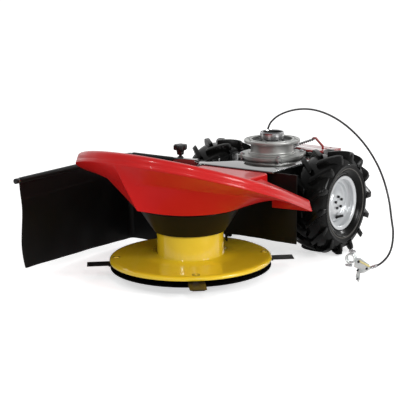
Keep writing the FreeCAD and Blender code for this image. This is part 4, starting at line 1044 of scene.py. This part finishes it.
# painted shade: a dark ring on the floor of the flange's recess, round the cup's foot
recess_ring = lathe([(33.6, 338.1), (64.6, 338.1), (64.6, 339), (60, 339.6), (50, 339.9), (44, 341.6),
              (40, 341.9), (36.4, 341.2), (33.6, 340), (33.6, 338.1)], ADAPTER_AXIS, steps=96)
settle(recess_ring, "recess_shade", "chassis", "dark_steel", angle=35, look=rubber_and_shade_black)
print("cup faces:", len(cup.data.polygons))

# %% [markdown]
# ## Frame, housing and handlebar bracket
# The frame plate is thick sheet with a gloss black paint that mirrors what stands on it. A copy of each
# solid is enough here, because the shapes are right: what it lacks is the small round that every sheared
# edge gets from its paint.

# %% Softened copies
softened = soft_copies("frame_black", {
    "frame_plate": 0.0026, "arm_clamp": 0.0012, "cable_stand": 0.0007, "bracket_posts": 0.001,
    "curtain_tube": 0.0004})
softened += soft_copies("frame_black", {"belt_housing": 0.002, "apron_rail": 0.0008}, saucer_black)
softened += soft_copies("dark_steel", {"gearbox": 0.003, "axle_tubes": 0.001, "drum_hub": 0.001,
                                       "spindle_housing": 0.001})
softened += soft_copies("bright_steel", {"spindle_shaft": 0.001})
softened += soft_copies("bracket_red", {"handlebar_bracket": 0.0014})
softened += soft_copies("knob_black", {"tube_cap": 0.0014})
print("softened copies:", len(softened))

# %% [markdown]
# The adjusting rod is a bright shank with dark collars and a nut block at its foot. It leans up to a flat
# bar that slopes down to the bracket.

# %% Adjusting rod
ROD_START = Vector((0.031, 0.520, 0.3126))
ROD_END = Vector((0.086, 0.560, 0.334))
COIL_START, COIL_PITCH = 21.0, 6.8
BLOCK_SIZE, BLOCK_Z, BLOCK_FOOT_Z = 0.012, 0.3052, 0.299
coil_outline = [(3.0, 0), (4.6, 0.5), (5.0, 1.5), (4.6, 2.9), (3.0, 3.4), (3.0, 0)]

rod_way = (ROD_END - ROD_START).normalized()
rod_length = (ROD_END - ROD_START).length * 1000
rod = lathe([(0, 0), (5.0, 0), (5.2, 1), (5.2, 16), (4.4, 17.4), (3.0, 18.4), (3.0, rod_length - 0.8),
             (2.4, rod_length), (0, rod_length)], ROD_START, rod_way, 24)
coils = []
at = COIL_START
while at < rod_length - 4:
    coils.append(lathe([(r, at + h) for r, h in coil_outline], ROD_START, rod_way, 20))
    at += COIL_PITCH
settle(joined(coils), "adjusting_coils", "chassis", "knob_black", angle=35)
start()
bpy.ops.mesh.primitive_cube_add(size=BLOCK_SIZE, location=(0, 0, 0))
nut_block = bpy.context.object
for point in nut_block.data.vertices:
    point.co += Vector((ROD_START.x, ROD_START.y, BLOCK_Z))
    point.co.z = max(point.co.z, BLOCK_FOOT_Z)
settle(joined([rod, soften(nut_block, 0.0012, 2)]), "adjusting_rod", "chassis", "bright_steel",
       ["adjuster_screw"], 30)
print("coils on the rod:", len(coils))

# %% Sloping stay


def slab(corners, low, high):
    """A flat bar: an outline of (x, up) in millimetres between two y planes."""
    drawn([Vector((x, low, up)) / 1000 for x, up in corners])
    bpy.ops.mesh.edge_face_add()
    bpy.ops.mesh.extrude_region_move(TRANSFORM_OT_translate={"value": (0, (high - low) / 1000, 0)})
    return edited(bpy.context.object, outward)


sloping = slab([(79, 337.5), (83, 340.4), (91, 340.4), (120, 314), (120, 302.6), (115, 302.6),
                (115, 311.4), (90, 334.4), (79, 334.4)], 556, 564)
settle(soften(sloping, 0.0007, 2), "sloping_stay", "chassis", "bracket_red", ["adjuster_blocks"], 30)
print("stay faces:", len(sloping.data.polygons))

# %% [markdown]
# Short strips of bright steel along the plate's left edge are a painted highlight, where the rounded edge
# catches the light.

# %% Painted highlight on the plate's edge
glint_outline = [(135.4, 285.15), (137.2, 284.75), (138.0, 283.6), (138.2, 282.2), (137, 282.2),
                (135.4, 283.8)]
glint_strips = [slab(glint_outline, low, high) for low, high in (
    (237, 250), (253, 281), (286, 291), (295, 322), (328, 336), (341, 377), (383, 390), (396, 430),
    (437, 470))]
# painted highlight: bright strips along the plate's left edge
settle(joined(glint_strips), "plate_edge_highlight", "chassis", "bright_steel", angle=20)
print("worn lengths:", len(glint_strips))

# %% [markdown]
# ## Side curtain
# The curtain stops stones. It is one thick coated sheet, hemmed round a bent tube, and it hangs from
# the tube down to just above the ground. A real one is never flat: its free edge wanders, its lower corner
# curls in, and a row of stitches holds the hem. The grid below follows the tube's path along the sheet,
# and goes up the sheet and round the tube at the hem.

# %% Curtain path
TUBE_Z = 293.0
TUBE_Y = 205.0
HEM_R = 8.4
CURTAIN_THICKNESS = 0.0022
CURTAIN_NEAR_X = -214.0
CURTAIN_FAR_X = -400.0
BEND = 16.0
BEND_START = 170.0
BEND_END = BEND_START + math.pi / 2 * BEND
PATH_END = BEND_END + TUBE_Y - BEND + 296
curtain_stops = [0, 8, 17, 26, 45, 65, 85, 105, 125, 145, 160, 170]
curtain_stops += [170 + 25.1 * i / 6 for i in range(1, 7)]
curtain_stops += [205.1 + 475 * (i / 26) for i in range(27)]
curtain_stops = [s for s in curtain_stops if s < PATH_END - 4] + [PATH_END]
curtain_heights = [15, 32, 49, 70, 95, 120, 145, 170, 195, 215, 231, 234.5, 236, 237.5, 241, 256,
                   270, 281, 284.4]
hem_turns = [-78, -60, -35, 0, 35, 70, 105, 140, 175, 210, 240, 258]
curtain_rows = len(curtain_heights) + len(hem_turns)


def on_path(distance):
    """Where the curtain is, seen from above, and which way its outside faces."""
    if distance <= BEND_START:
        return Vector((CURTAIN_NEAR_X - distance, TUBE_Y, 0)), Vector((0, 1, 0))
    if distance < BEND_END:
        a = (distance - BEND_START) / BEND
        out = Vector((-math.sin(a), math.cos(a), 0))
        return Vector((CURTAIN_FAR_X + BEND, TUBE_Y - BEND, 0)) + out * BEND, out
    return Vector((CURTAIN_FAR_X, TUBE_Y - BEND - (distance - BEND_END), 0)), Vector((-1, 0, 0))


print("curtain columns:", len(curtain_stops), "rows:", curtain_rows)

# %% Curtain sheet
STITCH_Z = 236
HANG_FROM_Z, HANG_DEPTH = 285, 120.0
EDGE_REACH, SEAM_REACH = 90.0, 60.0
edge_wave = [(15, 12.0), (28, 9.0), (50, 2.5), (80, -3.0), (105, -3.5), (150, 1.5), (190, 6.5), (215, 7.0),
             (245, 3.5), (270, 1.0), (290, 0.0)]


def between(pairs, value):
    """The value of a line through some (place, value) pairs."""
    for (a, one), (b, two) in zip(pairs, pairs[1:]):
        if value <= b:
            return one + (two - one) * max(0.0, (value - a) / (b - a))
    return pairs[-1][1]


def curtain_rule(column, row):
    """A point of the curtain: a hanging row first, then the rows round the tube."""
    distance = curtain_stops[column]
    spot, out = on_path(distance)
    if row >= len(curtain_heights):
        turn = math.radians(hem_turns[row - len(curtain_heights)])
        lift = Vector((0, 0, TUBE_Z + HEM_R * math.sin(turn)))
        return (spot + out * (HEM_R * math.cos(turn)) + lift) / 1000
    z = curtain_heights[row]
    if row == 0 and distance > BEND_END:
        z = max(z, 14.8 + 13.26 * (distance - BEND_END) / (PATH_END - BEND_END))
    hang = min(1.0, (HANG_FROM_Z - z) / HANG_DEPTH)
    ripple = 1.8 * math.sin(distance / 47.0) + 1.1 * math.sin(distance / 19.0 + z / 60.0)
    near_edge = math.exp(-(PATH_END - distance) / EDGE_REACH)
    push = -between(edge_wave, z) * near_edge
    push += ripple * hang * (1 - near_edge) * min(1.0, distance / SEAM_REACH)
    if abs(z - STITCH_Z) < 3:
        push -= 0.9 if z == STITCH_Z else 0.3
    return (spot + out * push + Vector((0, 0, z))) / 1000


NOTCH_X, NOTCH_TOP_Z = -240, 49
HEM_GAP_X, HEM_GAP_Y = -380, 176


def curtain_gap(middle):
    """The notch low beside the drum, and the opening of the hem at the tube's bend."""
    at_notch = middle.x > NOTCH_X and middle.z < NOTCH_TOP_Z
    at_bend = middle.x < HEM_GAP_X and middle.y > HEM_GAP_Y
    return at_notch or (at_bend and middle.z > HANG_FROM_Z)


curtain = formed(len(curtain_stops) - 1, curtain_rows - 1, curtain_rule)
thicken(cut_away(curtain, curtain_gap), CURTAIN_THICKNESS, 0.0)
worked(curtain, "SUBSURF", levels=1, render_levels=1)
settle(curtain, "curtain_sheet", "curtain", "rubber_sheet", ["side_curtain"], 60)
print("curtain points:", len(curtain.data.vertices))

# %% [markdown]
# ## Rear apron
# A second sheet of the same stuff hangs from a rail behind the drum and keeps the cut grass off the
# wheels. It is cut out round the belt housing, and hangs in shallow waves.

# %% Apron
APRON_Y = 254
APRON_HANG_Z, APRON_HANG_DEPTH = 245, 110.0
HOUSING_HALF, HOUSING_LOW_Z = 95, 222
APRON_THICKNESS = 0.003
apron_half = [20, 40, 60, 80, 95, 106, 118, 140, 165, 190, 211]
apron_stops = [-x for x in reversed(apron_half)] + [0] + apron_half
apron_heights = [67, 85, 105, 130, 155, 180, 205, 222, 240, 256, 270, 279]


def apron_rule(column, row):
    """A point of the apron, which swings more the lower it hangs."""
    x, z = apron_stops[column], apron_heights[row]
    hang = max(0.0, min(1.0, (APRON_HANG_Z - z) / APRON_HANG_DEPTH))
    wave = 2.6 * math.sin(x / 33.0) + 1.4 * math.sin(x / 13.0 + z / 50.0)
    return Vector((x, APRON_Y + (wave - 2.0) * hang, z)) / 1000


apron = formed(len(apron_stops) - 1, len(apron_heights) - 1, apron_rule)
cut_away(apron, lambda middle: abs(middle.x) < HOUSING_HALF and middle.z > HOUSING_LOW_Z)
thicken(apron, APRON_THICKNESS, 0.0)
settle(apron, "apron_sheet", "chassis", "rubber_sheet", ["rear_apron"], 60)
print("apron points:", len(apron.data.vertices))

# %% [markdown]
# ## Star knob
# The knob that clamps the curtain's tube is moulded plastic with six lobes. Its section is drawn once,
# and each ring of points swells and shrinks six times as it goes round.

# %% Knob
KNOB_FOOT = Vector((-0.189, 0.205, 0.3025))
KNOB_POINTS = 96
LOBES, LOBE_OUT, LOBE_IN = 6, 2.9, 1.6
# radius, height and how much of the lobes shows there
knob_section = [(0.0, 10.0, 0.0), (9.6, 10.0, 0.0), (10.6, 10.8, 0.0), (11.4, 17.0, 0.0),
                (12.6, 23.6, 0.1), (14.6, 25.0, 0.4), (18.0, 25.6, 0.8), (19.4, 26.6, 1.0),
                (20.0, 28.6, 1.0), (20.0, 38.2, 1.0), (19.6, 40.2, 1.0), (18.2, 41.6, 0.9),
                (15.0, 42.4, 0.5), (9.0, 42.4, 0.0), (8.0, 41.7, 0.0), (0.0, 41.6, 0.0)]


def knob_rule(column, row):
    """A point of the knob: its section's radius with the lobes added."""
    radius, height, lobe = knob_section[row]
    a = 2 * math.pi * column / KNOB_POINTS
    swell = math.cos(LOBES * a)
    reach = radius + lobe * swell * (LOBE_OUT if swell > 0 else LOBE_IN)
    return KNOB_FOOT + Vector((reach * math.cos(a), reach * math.sin(a), height)) / 1000


knob = edited(formed(KNOB_POINTS, len(knob_section) - 1, knob_rule), merge, outward)
settle(knob, "star_knob_head", "chassis", "knob_black", ["star_knob"], 50)
stem = lathe([(0, 0), (10, 0), (10, 0.8), (8.6, 3.4), (6.6, 4.8), (5, 5), (5, 10), (0, 10)],
             KNOB_FOOT, steps=32)
settle(stem, "knob_foot", "chassis", "knob_black", ["knob_stem"], 35)
print("knob faces:", len(knob.data.polygons))

# %% [markdown]
# ## Studio
# A plain white floor and an even sky. The floor looks white to the camera because part of what it shows
# is its own white, and the rest is lit, so it keeps the machine's shadow. Polished metal shows a white
# wall on one side of the machine and a dimmer room on the other.

# %% Floor
FLOOR_Z = -0.0005
FLOOR_SIZE = 40.0
FLOOR_GLOW = 0.6
FLOOR_WHITE = (0.88, 0.88, 0.88, 1.0)
WHITE = (1.0, 1.0, 1.0, 1.0)
start()
bpy.ops.mesh.primitive_plane_add(size=FLOOR_SIZE, location=(0, 0, 0))
floor = bpy.context.object
floor.name = "studio_floor"
for corner in floor.data.vertices:
    corner.co.z = FLOOR_Z
floor_white = bpy.data.materials.new("floor_white")
floor_white.use_nodes = True
paper = floor_white.node_tree
matt = paper.nodes["Principled BSDF"].outputs["BSDF"]
feed_shader(floor_white, {"Base Color": FLOOR_WHITE, "Roughness": 0.9, "Specular IOR Level": 0.0})
glow = add_node(paper, "Emission", {"Color": WHITE, "Strength": FLOOR_GLOW})
both = add_node(paper, "AddShader", {0: matt, 1: glow.outputs["Emission"]})
rays = add_node(paper, "LightPath", {})
chosen = add_node(paper, "MixShader", {"Fac": rays.outputs["Is Camera Ray"], 1: matt,
                                       2: both.outputs["Shader"]})
feed(paper, paper.nodes["Material Output"], {"Surface": chosen.outputs["Shader"]})
floor.data.materials.append(floor_white)
print("floor at", floor.data.vertices[0].co.z)

# %% [markdown]
# The sky is white to the camera and gives an even light. Only what a shiny surface mirrors is uneven: it
# grows from the dimmer side to the white wall along one bearing.

# %% Sky
WALL_BEARING = (-0.6, 0.8, 0.0)
WALL_FROM, WALL_TO = -0.1, 0.7
DIM_SIDE, BRIGHT_SIDE = 0.22, 1.0
ROOM_LIGHT = 0.55
world = bpy.data.worlds.new("studio")
bpy.context.scene.world = world
world.use_nodes = True
sky = world.node_tree
bearing = add_node(sky, "TexCoord", {}).outputs["Generated"]
behind = add_node(sky, "VectorMath", {0: bearing, 1: WALL_BEARING}, operation="DOT_PRODUCT")
mirrored = add_node(sky, "MapRange", {"Value": behind.outputs["Value"], "From Min": WALL_FROM,
                                      "From Max": WALL_TO, "To Min": DIM_SIDE, "To Max": BRIGHT_SIDE})
ray = add_node(sky, "LightPath", {})
shiny = add_node(sky, "Mix", {0: ray.outputs["Is Glossy Ray"], 2: ROOM_LIGHT,
                              3: mirrored.outputs["Result"]}, data_type="FLOAT")
plain = add_node(sky, "Mix", {0: ray.outputs["Is Camera Ray"], 2: shiny.outputs[0], 3: 1.0},
                 data_type="FLOAT")
feed(sky, sky.nodes["Background"], {"Color": WHITE, "Strength": plain.outputs[0]})
print("sky ready")

# %% [markdown]
# Two small keys stand in front, left and right. A large soft lamp fills in from the operator's left, and
# a weak one behind draws the far edges.

# %% Lamps
LAMP_AIM = Vector((0, 0.1, 0.2))
LAMP_SHAPE = 0.6


def soft_lamp(name, place, size, power):
    """A soft lamp that looks at the middle of the machine."""
    lamp = bpy.data.lights.new(name, "AREA")
    lamp.shape = "RECTANGLE"
    lamp.size = size
    lamp.size_y = size * LAMP_SHAPE
    lamp.energy = power
    holder = placed(name, lamp)
    holder.location = place
    holder.rotation_euler = (LAMP_AIM - Vector(place)).to_track_quat("-Z", "Y").to_euler()


soft_lamp("key_left", (0.3, -3.6, 2.7), 0.45, 19.0)
soft_lamp("key_right", (2.9, -2.6, 2.5), 0.45, 26.0)
soft_lamp("fill", (3.6, 0.2, 1.5), 1.4, 60.0)
soft_lamp("edge", (0.75, 3.4, 1.5), 0.5, 10.0)
bpy.context.scene.view_settings.view_transform = "Standard"
print("lamps:", len(bpy.data.lights))
